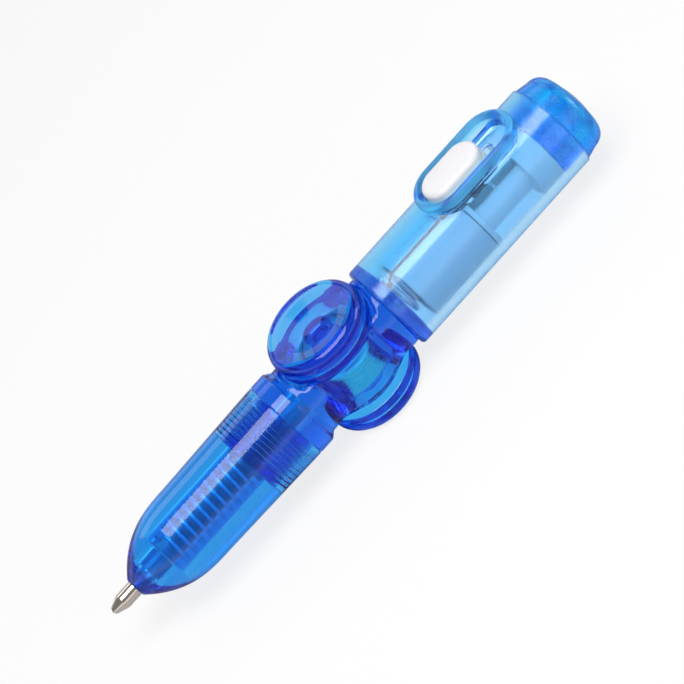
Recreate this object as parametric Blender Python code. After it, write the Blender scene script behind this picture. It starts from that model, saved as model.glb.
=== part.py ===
"""A spinning pen: a bearing hub with two finger pads, a pen on one side and a small torch on the other.

The pen's axis lies along X with the writing tip at -X. The hub's axis is Z, the torch switch faces +Z,
and the lower finger pad rests on the plane Z = 0.
"""

import math

import bmesh
import bpy
from mathutils import Vector

MM = 0.001
WELD = 1e-6

# All sizes below are in millimetres. A place called u lies on the pen's axis, measured from the hub's
# centre towards the cap. Heights are measured from the pen's axis.

# Clearances
SEAT_GAP = 0.05
SLIP_GAP = 0.1
PAD_GAP = 0.35

# Bearing
BEARING_BORE = 3.0
BEARING_DIAMETER = 10.0
BEARING_WIDTH = 4.0
BALL_TO_WIDTH = 0.397
BALL_COUNT = 7
RACE_SHOULDER = 0.14
CAGE_WALL = 0.6
SHIELD_THICKNESS = 0.25
SHIELD_RECESS = 0.25

# Spinner frame
RING_WALL = 1.35
RING_WIDTH = 8.1
BEARING_LIP = 0.7
PEN_NECK_RADIUS = 5.45
PEN_NECK_LENGTH = 1.4
COLLAR_LENGTH = 2.2
COLLAR_SHOULDER = 1.1
TORCH_NECK_LENGTH = 0.5
TORCH_NECK_STEP = 0.35
TORCH_PLUG_LENGTH = 1.9
THREAD_LENGTH = 7.25
THREAD_DEPTH = 0.35
THREAD_PITCH = 0.68
THREAD_RELIEF = 0.6
REFILL_STOP_WALL = 1.6

# Finger pads
PAD_RADIUS = 7.15
PAD_THICKNESS = 3.6
PAD_CHAMFER = 0.3
PAD_FLANGE = 1.2
PAD_GROOVE = 0.3
PAD_RIM_LAND = 0.6
PAD_LEDGE = 1.1
DISH_DEPTH = 0.4
BOSS_WALL = 0.7

# Front barrel
BARREL_LENGTH = 28.7
BARREL_MOUTH_RADIUS = 6.13
BARREL_MOUTH_WALL = 1.23
BARREL_WAIST_RADIUS = 5.81
NOSE_LENGTH = 11.62
NOSE_END_WALL = 0.22
NOSE_FULLNESS = 2.8
NOSE_BORE_LENGTH = 3.24
REFILL_GUIDE_LENGTH = 2.7

# Refill
TIP_DIAMETER = 2.3
TIP_EXPOSED = 4.36
TIP_CONE_LENGTH = 1.7
TIP_POINT_DIAMETER = 1.17
TIP_SHANK_LENGTH = 3.0
POINT_BALL_DIAMETER = 0.7
BALL_SHOWING = 0.18
INK_CHANNEL_DIAMETER = 0.5
REFILL_DIAMETER = 3.2
REFILL_WALL = 0.55
FLANGE_THICKNESS = 0.75
FOLLOWER_LENGTH = 1.8
REFILL_AIR_LENGTH = 5.5
SPRING_WIRE = 0.6
SPRING_PITCH = 1.36
SPRING_BORE_GAP = 0.7
SPRING_SIDE_GAP = 0.3

# Torch barrel and cap
TUBE_WALL = 1.2
TUBE_ROUNDING = 0.5
CAP_LENGTH = 4.36
CAP_STEP = 0.2
CAP_TOP_RADIUS = 2.5
CAP_CROWN_RADIUS = 4.1
CAP_CROWN_DROP = 0.4
CAP_SKIRT_LENGTH = 1.9
CAP_SKIRT_DRAFT = 0.4
CAP_PLUG_LENGTH = 3.5
CAP_WALL = 1.2

# Switch
BEZEL_LENGTH = 16.5
BEZEL_WIDTH = 8.7
BEZEL_RISE = 0.85
BEZEL_RIM = 1.3
BEZEL_TO_TUBE_END = 3.15
POCKET_DEPTH = 2.13
POCKET_FLOOR = 0.57
SWITCH_TRAVEL = 4.2
SLIDER_BASE_THICKNESS = 0.9
SLIDER_PROUD = 0.7
SLIDER_TAIL = 0.1
DOME_SIDE_STEP = 0.3
DOME_EDGE = 0.7
STEM_LENGTH = 2.3
STEM_WIDTH = 1.8
STEM_TO_CONTACT = 1.35
LEAF_THICKNESS = 0.25
LEAF_REACH = 2.5

# Light and battery
CELL_DIAMETER = 7.9
CELL_HEIGHT = 3.6
CELL_COUNT = 3
CELL_BUTTON_STEP = 0.5
CELL_EDGE = 0.35
SLEEVE_WALL = 1.25
SLEEVE_OVERHANG = 0.5
BATTERY_SPRING_HEIGHT = 2.3
BATTERY_SPRING_WIRE = 0.45
BATTERY_SPRING_TURNS = 2
BATTERY_SPRING_BASE = 7.2
BATTERY_SPRING_TOP = 3.4
PLATE_THICKNESS = 0.3
HOLDER_LENGTH = 12.55
HOLDER_END_FLANGE = 0.8
HOLDER_SHOULDER_WALL = 1.4
LED_DIAMETER = 5.0
LED_HEIGHT = 8.6
LED_FLANGE_STEP = 0.4
LED_FLANGE_THICKNESS = 1.0
LED_TOP_GAP = 0.41
LEAD_DIAMETER = 0.5
LEAD_SPACING = 2.54
LEAD_SLOT_WIDTH = 1.3
CONTACT_THICKNESS = 0.3
CONTACT_START_DEG = 22.0
CONTACT_END_DEG = 50.0
CONTACT_BREAK = 0.5
RETURN_WIRE = 0.3
RETURN_WIRE_SIDE = 1.8

# Facets
BIG_ROUND = 36
SMALL_ROUND = 24
BEARING_ROUND = 28
HALF_ROUND = 6
ARC_STEPS = 4
NOSE_STEPS = 8
CURL_POINTS = 9
BALL_SUBDIVISIONS = 2
SMOOTH_ANGLE_DEG = 35.0

# Derived radii and heights
BALL_RADIUS = BEARING_WIDTH * BALL_TO_WIDTH / 2
PITCH_RADIUS = (BEARING_BORE + BEARING_DIAMETER) / 4
GROOVE_RADIUS = BALL_RADIUS + SEAT_GAP
GROOVE_HALF_ANGLE = math.acos((GROOVE_RADIUS - RACE_SHOULDER - SEAT_GAP) / GROOVE_RADIUS)
INNER_LAND = PITCH_RADIUS - GROOVE_RADIUS * math.cos(GROOVE_HALF_ANGLE)
OUTER_LAND = PITCH_RADIUS + GROOVE_RADIUS * math.cos(GROOVE_HALF_ANGLE)
BEARING_TOP = BEARING_WIDTH / 2
SHIELD_TOP = BEARING_TOP - SHIELD_RECESS
CAGE_TOP = SHIELD_TOP - SHIELD_THICKNESS - SLIP_GAP
POCKET_RADIUS = BEARING_DIAMETER / 2 + SEAT_GAP
RING_RADIUS = POCKET_RADIUS + RING_WALL
RING_FACE = RING_WIDTH / 2
PAD_INNER = RING_FACE + PAD_GAP
PAD_OUTER = PAD_INNER + PAD_THICKNESS
PAD_EDGE = PAD_THICKNESS - PAD_FLANGE - PAD_GROOVE - PAD_RIM_LAND
PAD_CLEAR_RADIUS = PAD_RADIUS + PAD_GAP
AXIS_HEIGHT = PAD_OUTER
SLEEVE_BORE = CELL_DIAMETER / 2 + SLIP_GAP
PLUG_RADIUS = SLEEVE_BORE + SLEEVE_WALL
TUBE_BORE = PLUG_RADIUS + SLIP_GAP
TUBE_RADIUS = TUBE_BORE + TUBE_WALL
SOCKET_RADIUS = BARREL_MOUTH_RADIUS - BARREL_MOUTH_WALL
THREAD_RADIUS = SOCKET_RADIUS - SLIP_GAP
TIP_BORE = TIP_DIAMETER / 2 + SLIP_GAP
NOSE_END_RADIUS = TIP_BORE + NOSE_END_WALL
REFILL_RADIUS = REFILL_DIAMETER / 2
REFILL_BORE = REFILL_RADIUS - REFILL_WALL
GUIDE_RADIUS = REFILL_RADIUS + SLIP_GAP
SPRING_COIL_RADIUS = REFILL_RADIUS + SPRING_BORE_GAP + SPRING_WIRE / 2
SPRING_RADIUS = SPRING_COIL_RADIUS + SPRING_WIRE / 2
CHAMBER_RADIUS = SPRING_RADIUS + SPRING_SIDE_GAP
RIM_HEIGHT = TUBE_RADIUS + BEZEL_RISE
POCKET_BOTTOM = RIM_HEIGHT - POCKET_DEPTH
BED_HEIGHT = POCKET_BOTTOM - POCKET_FLOOR
CORE_FLAT = BED_HEIGHT - RETURN_WIRE - 2 * SEAT_GAP
LEAF_BOTTOM = CORE_FLAT - LEAF_THICKNESS
CONTACT_RADIUS = LEAF_BOTTOM - SLIP_GAP - CONTACT_THICKNESS
HOLDER_RADIUS = CONTACT_RADIUS - SLIP_GAP
LED_FLANGE_RADIUS = LED_DIAMETER / 2 + LED_FLANGE_STEP
LED_WELL_RADIUS = LED_FLANGE_RADIUS + SLIP_GAP

# Derived places along the pen, pen side
COLLAR_END = -(PAD_CLEAR_RADIUS + PEN_NECK_LENGTH + COLLAR_LENGTH)
MOUTH = COLLAR_END - SEAT_GAP
NOSE_END = MOUTH - BARREL_LENGTH
NOSE_START = NOSE_END + NOSE_LENGTH
THREAD_END = COLLAR_END - THREAD_LENGTH
GUIDE_START = NOSE_END + NOSE_BORE_LENGTH
CHAMBER_START = GUIDE_START + REFILL_GUIDE_LENGTH
SOCKET_BOTTOM = THREAD_END - SLIP_GAP
TIP_END = NOSE_END - TIP_EXPOSED
POINT_BALL_PLACE = TIP_END + POINT_BALL_DIAMETER / 2
REFILL_START = GUIDE_START + SLIP_GAP
FLANGE_BACK = THREAD_END - SEAT_GAP
FLANGE_FRONT = FLANGE_BACK - FLANGE_THICKNESS
REFILL_END = -(RING_RADIUS + REFILL_STOP_WALL)
SHANK_END = REFILL_START + TIP_SHANK_LENGTH
FOLLOWER_END = REFILL_END - REFILL_AIR_LENGTH
FOLLOWER_START = FOLLOWER_END - FOLLOWER_LENGTH
SPRING_START = CHAMBER_START + SEAT_GAP
SPRING_END = FLANGE_FRONT - SEAT_GAP
SPRING_TURNS = round((SPRING_END - SPRING_START - 2 * SPRING_WIRE) / SPRING_PITCH)

# Derived places along the pen, torch side
TUBE_START = PAD_CLEAR_RADIUS + TORCH_NECK_LENGTH
PLUG_END = TUBE_START + TORCH_PLUG_LENGTH
CELL_START = PLUG_END + SEAT_GAP + BATTERY_SPRING_HEIGHT + SEAT_GAP
CELL_STEP = CELL_HEIGHT + SEAT_GAP
CELL_END = CELL_START + CELL_COUNT * CELL_STEP
PLATE_END = CELL_END + PLATE_THICKNESS
SLEEVE_START = CELL_START - SLEEVE_OVERHANG
HOLDER_START = PLATE_END + SLIP_GAP
HOLDER_END = HOLDER_START + HOLDER_LENGTH
CAP_PLUG_END = HOLDER_END + SLIP_GAP
TUBE_END = CAP_PLUG_END + CAP_PLUG_LENGTH
CAP_START = TUBE_END + SEAT_GAP
CAP_END = CAP_START + CAP_LENGTH
LED_TOP = CAP_END - CAP_WALL - LED_TOP_GAP
LED_BASE = LED_TOP - LED_HEIGHT
HOLDER_SHOULDER = LED_BASE - SEAT_GAP - HOLDER_SHOULDER_WALL
BEZEL_CENTRE = TUBE_END - BEZEL_TO_TUBE_END - BEZEL_LENGTH / 2
POCKET_LENGTH = BEZEL_LENGTH - 2 * BEZEL_RIM
POCKET_WIDTH = BEZEL_WIDTH - 2 * BEZEL_RIM
POCKET_START = BEZEL_CENTRE - POCKET_LENGTH / 2
SLIDER_START = POCKET_START + SLIP_GAP
SLIDER_LENGTH = POCKET_LENGTH - SWITCH_TRAVEL - 2 * SLIP_GAP
SLIDER_WIDTH = POCKET_WIDTH - 2 * SLIP_GAP
DOME_LENGTH = SLIDER_LENGTH - SLIP_GAP - SLIDER_TAIL
DOME_WIDTH = SLIDER_WIDTH - 2 * DOME_SIDE_STEP
CONTACT_START = HOLDER_START + HOLDER_END_FLANGE + SLIP_GAP
STEM_START = CONTACT_START + STEM_TO_CONTACT
STEM_END = STEM_START + STEM_LENGTH
RETURN_CONTACT_END = STEM_END + SLIP_GAP
LAMP_CONTACT_START = RETURN_CONTACT_END + CONTACT_BREAK
LAMP_CONTACT_END = HOLDER_SHOULDER - SLIP_GAP
LEAD_BEND = HOLDER_SHOULDER - LEAD_SLOT_WIDTH


# Materials

COLOURS = {
    "clear_blue": ((0.30, 0.62, 0.95), 0.08, 0.0),
    "mid_blue": ((0.01, 0.20, 0.90), 0.08, 0.0),
    "deep_blue": ((0.01, 0.07, 0.70), 0.10, 0.0),
    "barrel_blue": ((0.02, 0.16, 0.62), 0.08, 0.0),
    "white_plastic": ((0.90, 0.88, 0.90), 0.35, 0.0),
    "pale_plastic": ((0.75, 0.78, 0.88), 0.30, 0.0),
    "bearing_steel": ((0.62, 0.63, 0.65), 0.20, 1.0),
    "spring_steel": ((0.70, 0.72, 0.75), 0.25, 1.0),
    "nickel": ((0.75, 0.71, 0.64), 0.22, 1.0),
    "cell_can": ((0.75, 0.74, 0.72), 0.25, 1.0),
    "carbide": ((0.35, 0.35, 0.37), 0.15, 1.0),
    "contact_steel": ((0.22, 0.22, 0.24), 0.40, 1.0),
    "brass": ((0.72, 0.55, 0.25), 0.30, 1.0),
    "copper": ((0.30, 0.16, 0.10), 0.40, 1.0),
    "lens_clear": ((0.85, 0.90, 0.95), 0.05, 0.0),
    "refill_plastic": ((0.80, 0.85, 0.92), 0.25, 0.0),
    "blue_ink": ((0.01, 0.02, 0.20), 0.30, 0.0),
    "grease": ((0.80, 0.78, 0.62), 0.35, 0.0),
}


def make_material(name):
    colour, roughness, metallic = COLOURS[name]
    material = bpy.data.materials.new(name)
    material.use_nodes = True
    shader = material.node_tree.nodes["Principled BSDF"]
    shader.inputs["Base Color"].default_value = (*colour, 1.0)
    shader.inputs["Roughness"].default_value = roughness
    shader.inputs["Metallic"].default_value = metallic
    material.diffuse_color = (*colour, 1.0)
    return material


# Shape tools

def add_object(name, data, material, parent):
    data.materials.append(material)
    piece = bpy.data.objects.new(name, data)
    bpy.context.collection.objects.link(piece)
    piece.parent = parent
    return piece


def finish_mesh(name, bm):
    bmesh.ops.remove_doubles(bm, verts=bm.verts, dist=WELD)
    bmesh.ops.recalc_face_normals(bm, faces=bm.faces)
    mesh = bpy.data.meshes.new(name)
    bm.to_mesh(mesh)
    bm.free()
    mesh.shade_smooth()
    mesh.set_sharp_from_angle(angle=math.radians(SMOOTH_ANGLE_DEG))
    return mesh


def on_pen(u, radius):
    return Vector((u * MM, 0.0, radius * MM))


def on_hub(radius, height):
    return Vector((radius * MM, 0.0, height * MM))


def point(u, side, height):
    return Vector((u * MM, side * MM, height * MM))


def turned(name, outline, axis, segments):
    """Spins an outline round an axis. It is closed by itself, or starts and ends on the axis."""
    bm = bmesh.new()
    verts = [bm.verts.new(place) for place in outline]
    edges = [bm.edges.new(pair) for pair in zip(verts, verts[1:])]
    on_axis = outline[0].cross(axis).length < WELD and outline[-1].cross(axis).length < WELD
    if not on_axis:
        edges.append(bm.edges.new((verts[-1], verts[0])))
    bmesh.ops.spin(bm, geom=verts + edges, cent=(0, 0, 0), axis=axis, angle=2 * math.pi,
                   steps=segments, use_merge=True)
    return finish_mesh(name, bm)


def turned_on_pen(name, outline, segments=BIG_ROUND):
    return turned(name, [on_pen(u, radius) for u, radius in outline], Vector((1, 0, 0)), segments)


def turned_on_hub(name, outline, segments=BIG_ROUND):
    return turned(name, [on_hub(radius, height) for radius, height in outline], Vector((0, 0, 1)), segments)


def lofted(name, sections):
    """Joins equal rings of points into one closed solid with flat ends."""
    bm = bmesh.new()
    rings = [[bm.verts.new(place) for place in section] for section in sections]
    for lower, upper in zip(rings, rings[1:]):
        join_rings(bm, lower, upper)
    bm.faces.new(rings[0])
    bm.faces.new(rings[-1])
    return finish_mesh(name, bm)


def join_rings(bm, lower, upper):
    count = len(lower)
    for i in range(count):
        j = (i + 1) % count
        bm.faces.new((lower[i], lower[j], upper[j], upper[i]))


def arc(centre_a, centre_b, radius, start_deg, end_deg, steps):
    angles = [math.radians(start_deg + (end_deg - start_deg) * i / steps) for i in range(steps + 1)]
    return [(centre_a + radius * math.cos(a), centre_b + radius * math.sin(a)) for a in angles]


def stadium(centre, length, width, height):
    """A ring of points with straight sides along the pen and half-round ends."""
    radius = width / 2
    reach = length / 2 - radius
    cap_end = arc(centre + reach, 0, radius, -90, 90, HALF_ROUND)
    hub_end = arc(centre - reach, 0, radius, 90, 270, HALF_ROUND)
    return [point(u, side, height) for u, side in cap_end + hub_end]


def block(name, start, end, side_from, side_to, low, high):
    corners = ((side_from, low), (side_to, low), (side_to, high), (side_from, high))
    return lofted(name, [[point(u, side, height) for side, height in corners] for u in (start, end)])


def round_bar(name, start, end, radius, segments=SMALL_ROUND):
    """A solid bar on the pen's axis."""
    return turned_on_pen(name, [(start, 0), (start, radius), (end, radius), (end, 0)], segments)


def wire(name, places, diameter, material, parent):
    curve = bpy.data.curves.new(name, "CURVE")
    curve.dimensions = "3D"
    curve.bevel_depth = diameter * MM / 2
    curve.bevel_resolution = 1
    curve.use_fill_caps = True
    spline = curve.splines.new("POLY")
    spline.points.add(len(places) - 1)
    for spot, place in zip(spline.points, places):
        spot.co = (*place, 1.0)
    return add_object(name, curve, material, parent)


def coil(start, end, turns, start_radius, end_radius, wire_diameter):
    """Points of a spring round the pen's axis, with an end along the axis at each seat."""
    steps = turns * CURL_POINTS
    first = start + wire_diameter
    last = end - wire_diameter
    places = []
    for i in range(steps + 1):
        share = i / steps
        angle = 2 * math.pi * turns * share
        radius = start_radius + (end_radius - start_radius) * share
        u = first + (last - first) * share
        places.append(point(u, radius * math.sin(angle), radius * math.cos(angle)))
    return [point(start, 0, start_radius), *places, point(end, 0, end_radius)]


def least_gap(places, wire_diameter):
    apart = CURL_POINTS * 2 // 3
    spans = [(a - b).length for i, a in enumerate(places) for b in places[i + apart:]]
    return min(spans) / MM - wire_diameter


def cut(piece, tool_mesh, operation="DIFFERENCE"):
    tool = add_object(f"{tool_mesh.name}_tool", tool_mesh, piece.data.materials[0], piece.parent)
    tool.hide_render = True
    tool.display_type = "WIRE"
    boolean = piece.modifiers.new(tool_mesh.name, "BOOLEAN")
    boolean.operation = operation
    boolean.solver = "EXACT"
    boolean.object = tool


def ball_mesh(name, radius):
    mesh = bpy.data.meshes.new(name)
    bm = bmesh.new()
    bmesh.ops.create_icosphere(bm, subdivisions=BALL_SUBDIVISIONS, radius=radius * MM)
    bm.to_mesh(mesh)
    bm.free()
    mesh.shade_smooth()
    return mesh


def around(angle_deg, radius):
    """Side and height of a place round the pen's axis, from +Z towards -Y."""
    angle = math.radians(angle_deg)
    return -radius * math.sin(angle), radius * math.cos(angle)


# Hub

def add_pad(name, side, materials, hub):
    """One finger pad: stub in the bearing's bore, boss on its inner race, grooved rim, dished face."""
    boss = BEARING_BORE / 2 + BOSS_WALL
    stub = BEARING_BORE / 2 - SEAT_GAP
    flange_top = PAD_INNER + PAD_FLANGE
    edge_start = PAD_OUTER - PAD_EDGE
    face_radius = PAD_RADIUS - PAD_EDGE
    outline = [
        (0, SEAT_GAP),
        (stub, SEAT_GAP),
        (stub, BEARING_TOP + SEAT_GAP),
        (boss, BEARING_TOP + SEAT_GAP),
        (boss, PAD_INNER),
        (PAD_RADIUS - PAD_CHAMFER, PAD_INNER),
        (PAD_RADIUS, PAD_INNER + PAD_CHAMFER),
        (PAD_RADIUS, flange_top),
        (PAD_RADIUS - PAD_GROOVE, flange_top + PAD_GROOVE / 3),
        (PAD_RADIUS - PAD_GROOVE, flange_top + PAD_GROOVE * 2 / 3),
        (PAD_RADIUS, flange_top + PAD_GROOVE),
        *arc(face_radius, edge_start, PAD_EDGE, 0, 90, ARC_STEPS),
        (face_radius - PAD_LEDGE, PAD_OUTER),
        (0, PAD_OUTER - DISH_DEPTH),
    ]
    mesh = turned_on_hub(name, [(radius, side * height) for radius, height in outline])
    add_object(name, mesh, materials["deep_blue"], hub)


def add_bearing(materials, hub):
    steel = materials["bearing_steel"]
    half_angle = math.degrees(GROOVE_HALF_ANGLE)
    bore = BEARING_BORE / 2
    rim = BEARING_DIAMETER / 2
    inner = [
        (bore, -BEARING_TOP),
        (INNER_LAND, -BEARING_TOP),
        *arc(PITCH_RADIUS, 0, GROOVE_RADIUS, 180 + half_angle, 180 - half_angle, ARC_STEPS),
        (INNER_LAND, BEARING_TOP),
        (bore, BEARING_TOP),
    ]
    outer = [
        (rim, -BEARING_TOP),
        (rim, BEARING_TOP),
        (OUTER_LAND, BEARING_TOP),
        *arc(PITCH_RADIUS, 0, GROOVE_RADIUS, half_angle, -half_angle, ARC_STEPS),
        (OUTER_LAND, -BEARING_TOP),
    ]
    add_object("bearing_inner_race", turned_on_hub("inner_race", inner, BEARING_ROUND), steel, hub)
    add_object("bearing_outer_race", turned_on_hub("outer_race", outer, BEARING_ROUND), steel, hub)

    shield = [
        (INNER_LAND + SLIP_GAP, SHIELD_TOP - SHIELD_THICKNESS),
        (OUTER_LAND - SEAT_GAP, SHIELD_TOP - SHIELD_THICKNESS),
        (OUTER_LAND - SEAT_GAP, SHIELD_TOP),
        (INNER_LAND + SLIP_GAP, SHIELD_TOP),
    ]
    for name, side in (("bearing_shield_top", 1), ("bearing_shield_bottom", -1)):
        flipped = [(radius, side * height) for radius, height in shield]
        add_object(name, turned_on_hub(name, flipped, BEARING_ROUND), steel, hub)

    pockets = bmesh.new()
    pocket_radius = (BALL_RADIUS + SLIP_GAP) * MM
    for i in range(BALL_COUNT):
        angle = 2 * math.pi * i / BALL_COUNT
        way = Vector((math.cos(angle), math.sin(angle), 0.0))
        name = f"bearing_ball_{i + 1}"
        ball = add_object(name, ball_mesh(name, BALL_RADIUS), steel, hub)
        ball.location = way * PITCH_RADIUS * MM
        turn = way.to_track_quat("Z", "Y").to_matrix().to_4x4()
        turn.translation = ball.location
        bmesh.ops.create_cone(pockets, cap_ends=True, segments=2 * HALF_ROUND, radius1=pocket_radius,
                              radius2=pocket_radius, depth=2 * CAGE_WALL * MM, matrix=turn)
    cage = [
        (PITCH_RADIUS - CAGE_WALL / 2, -CAGE_TOP),
        (PITCH_RADIUS + CAGE_WALL / 2, -CAGE_TOP),
        (PITCH_RADIUS + CAGE_WALL / 2, CAGE_TOP),
        (PITCH_RADIUS - CAGE_WALL / 2, CAGE_TOP),
    ]
    piece = add_object("bearing_cage", turned_on_hub("cage", cage, 4 * BALL_COUNT), materials["brass"], hub)
    cut(piece, finish_mesh("ball_pockets", pockets))


def threaded_neck():
    """Pen side of the frame: neck, rounded collar, screw thread with a helical ridge, refill bore."""
    root = THREAD_RADIUS - THREAD_DEPTH
    neck_end = -(PAD_CLEAR_RADIUS + PEN_NECK_LENGTH - COLLAR_SHOULDER)
    collar_start = neck_end - COLLAR_SHOULDER
    thread_start = COLLAR_END - THREAD_RELIEF
    turns = math.floor((THREAD_LENGTH - 2 * THREAD_RELIEF) / THREAD_PITCH) - 1
    rise = BARREL_MOUTH_RADIUS - PEN_NECK_RADIUS
    bm = bmesh.new()

    def ring(u, radius):
        return helix_row(lambda column: u, radius)

    def helix_row(place, radius):
        row = []
        for column in range(BIG_ROUND):
            angle = 2 * math.pi * column / BIG_ROUND
            spot = point(place(column), radius * math.sin(angle), radius * math.cos(angle))
            row.append(bm.verts.new(spot))
        return row

    def ridge_row(row):
        radius = root if row % 2 == 0 else THREAD_RADIUS
        return helix_row(lambda column: thread_start - THREAD_PITCH * (row / 2 + column / BIG_ROUND), radius)

    shoulder = [
        (neck_end - COLLAR_SHOULDER * math.sin(a), PEN_NECK_RADIUS + rise * (1 - math.cos(a)))
        for a in (math.pi / 6, math.pi / 3)
    ]
    bodies = [(0, PEN_NECK_RADIUS), (neck_end, PEN_NECK_RADIUS), *shoulder,
              (collar_start, BARREL_MOUTH_RADIUS), (COLLAR_END, BARREL_MOUTH_RADIUS), (COLLAR_END, root),
              (thread_start + THREAD_RELIEF / 3, root)]
    rings = [ring(u, radius) for u, radius in bodies]
    rows = [ridge_row(row) for row in range(2 * turns + 1)]
    ends = [ring(u, radius) for u, radius in (
        (THREAD_END + THREAD_RELIEF / 2, root),
        (THREAD_END, root - THREAD_RELIEF / 2),
        (THREAD_END, GUIDE_RADIUS),
        (REFILL_END + SLIP_GAP, GUIDE_RADIUS))]
    for lower, upper in zip(rings, rings[1:]):
        join_rings(bm, lower, upper)
    for lower, upper in zip(ends, ends[1:]):
        join_rings(bm, lower, upper)

    last = BIG_ROUND - 1
    for row in range(2 * turns):
        for column in range(last):
            bm.faces.new((rows[row][column], rows[row][column + 1],
                          rows[row + 1][column + 1], rows[row + 1][column]))
    for row in range(2 * turns - 2):
        bm.faces.new((rows[row][last], rows[row + 2][0], rows[row + 3][0], rows[row + 1][last]))
    for column in range(last):
        bm.faces.new((rings[-1][column], rings[-1][column + 1], rows[0][column + 1], rows[0][column]))
        bm.faces.new((rows[-1][column], rows[-1][column + 1], ends[0][column + 1], ends[0][column]))
    start_fan = (rows[0][last], rows[2][0], rows[1][0], rows[0][0], rings[-1][0])
    for a, b in zip(start_fan, start_fan[1:]):
        bm.faces.new((rings[-1][last], a, b))
    end_fan = (rows[-3][last], rows[-2][last], rows[-1][last], ends[0][last])
    for a, b in zip(end_fan, end_fan[1:]):
        bm.faces.new((rows[-1][0], a, b))
    bm.faces.new((rows[-1][0], ends[0][last], ends[0][0]))
    bm.faces.new(rings[0])
    bm.faces.new(ends[-1])
    return finish_mesh("threaded_neck", bm)


def add_frame(materials, hub):
    """One moulding: bearing ring, necks to both sides, screw thread and torch plug."""
    neck_radius = TUBE_BORE + TORCH_NECK_STEP
    ring = [(0, -PAD_INNER), (RING_RADIUS, -PAD_INNER), (RING_RADIUS, PAD_INNER), (0, PAD_INNER)]
    frame = add_object("spinner_frame", turned_on_hub("ring", ring), materials["deep_blue"], hub)
    torch_neck = [(-RING_WALL, 0), (-RING_WALL, neck_radius), (TUBE_START - SEAT_GAP, neck_radius),
                  (TUBE_START - SEAT_GAP, PLUG_RADIUS), (PLUG_END, PLUG_RADIUS), (PLUG_END, 0)]
    pocket = [
        (0, -PAD_OUTER),
        (PAD_CLEAR_RADIUS, -PAD_OUTER),
        (PAD_CLEAR_RADIUS, -RING_FACE),
        (BEARING_DIAMETER / 2 - BEARING_LIP, -RING_FACE),
        (BEARING_DIAMETER / 2 - BEARING_LIP, -BEARING_TOP - SEAT_GAP),
        (POCKET_RADIUS, -BEARING_TOP - SEAT_GAP),
        (POCKET_RADIUS, RING_FACE),
        (PAD_CLEAR_RADIUS, RING_FACE),
        (PAD_CLEAR_RADIUS, PAD_OUTER),
        (0, PAD_OUTER),
    ]
    cut(frame, threaded_neck(), "UNION")
    cut(frame, turned_on_pen("torch_neck", torch_neck), "UNION")
    cut(frame, turned_on_hub("bearing_pocket", pocket))


# Pen

def add_front_barrel(materials, hub):
    nose = []
    for i in range(NOSE_STEPS + 1):
        share = math.sin(math.pi / 2 * i / NOSE_STEPS)
        drop = (BARREL_WAIST_RADIUS - NOSE_END_RADIUS) * share ** NOSE_FULLNESS
        nose.append((NOSE_START - NOSE_LENGTH * share, BARREL_WAIST_RADIUS - drop))
    outline = [
        (MOUTH, SOCKET_RADIUS),
        (MOUTH, BARREL_MOUTH_RADIUS),
        *nose,
        (NOSE_END, TIP_BORE),
        (GUIDE_START, TIP_BORE),
        (GUIDE_START, GUIDE_RADIUS),
        (CHAMBER_START, GUIDE_RADIUS),
        (CHAMBER_START, CHAMBER_RADIUS),
        (SOCKET_BOTTOM, CHAMBER_RADIUS),
        (SOCKET_BOTTOM, SOCKET_RADIUS),
    ]
    mesh = turned_on_pen("front_barrel", outline)
    add_object("front_barrel", mesh, materials["barrel_blue"], hub)


def add_refill(materials, hub):
    tip = TIP_DIAMETER / 2
    ball = POINT_BALL_DIAMETER / 2
    rim = TIP_END + BALL_SHOWING
    rim_radius = math.sqrt(ball ** 2 - (ball - BALL_SHOWING) ** 2) + SEAT_GAP / 2
    shank = REFILL_BORE - SEAT_GAP
    channel = INK_CHANNEL_DIAMETER / 2
    writing_tip = [
        (rim, rim_radius),
        (rim, TIP_POINT_DIAMETER / 2),
        (rim + TIP_CONE_LENGTH, tip),
        (GUIDE_START, tip),
        (GUIDE_START, shank),
        (SHANK_END, shank),
        (SHANK_END, channel),
        (POINT_BALL_PLACE + ball + SEAT_GAP, channel),
        (POINT_BALL_PLACE, ball + SEAT_GAP),
    ]
    tube = [
        (REFILL_START, REFILL_BORE),
        (REFILL_START, REFILL_RADIUS),
        (FLANGE_FRONT, REFILL_RADIUS),
        (FLANGE_FRONT, SPRING_RADIUS),
        (FLANGE_BACK, SPRING_RADIUS),
        (FLANGE_BACK, REFILL_RADIUS),
        (REFILL_END, REFILL_RADIUS),
        (REFILL_END, REFILL_BORE),
    ]
    ink_radius = REFILL_BORE - SEAT_GAP
    ink = round_bar("ink", SHANK_END + SEAT_GAP, FOLLOWER_START - SEAT_GAP, ink_radius)
    follower = round_bar("follower", FOLLOWER_START, FOLLOWER_END, ink_radius)
    add_object("writing_tip", turned_on_pen("writing_tip", writing_tip, SMALL_ROUND), materials["nickel"], hub)
    add_object("refill_tube", turned_on_pen("refill_tube", tube, SMALL_ROUND), materials["refill_plastic"], hub)
    add_object("ink_column", ink, materials["blue_ink"], hub)
    add_object("ink_follower", follower, materials["grease"], hub)

    piece = add_object("writing_ball", ball_mesh("writing_ball", ball), materials["carbide"], hub)
    piece.location = point(POINT_BALL_PLACE, 0, 0)

    places = coil(SPRING_START, SPRING_END, SPRING_TURNS, SPRING_COIL_RADIUS, SPRING_COIL_RADIUS, SPRING_WIRE)
    print("refill_spring least gap to itself, mm:", round(least_gap(places, SPRING_WIRE), 3))
    wire("refill_spring", places, SPRING_WIRE, materials["spring_steel"], hub)


# Torch

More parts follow.
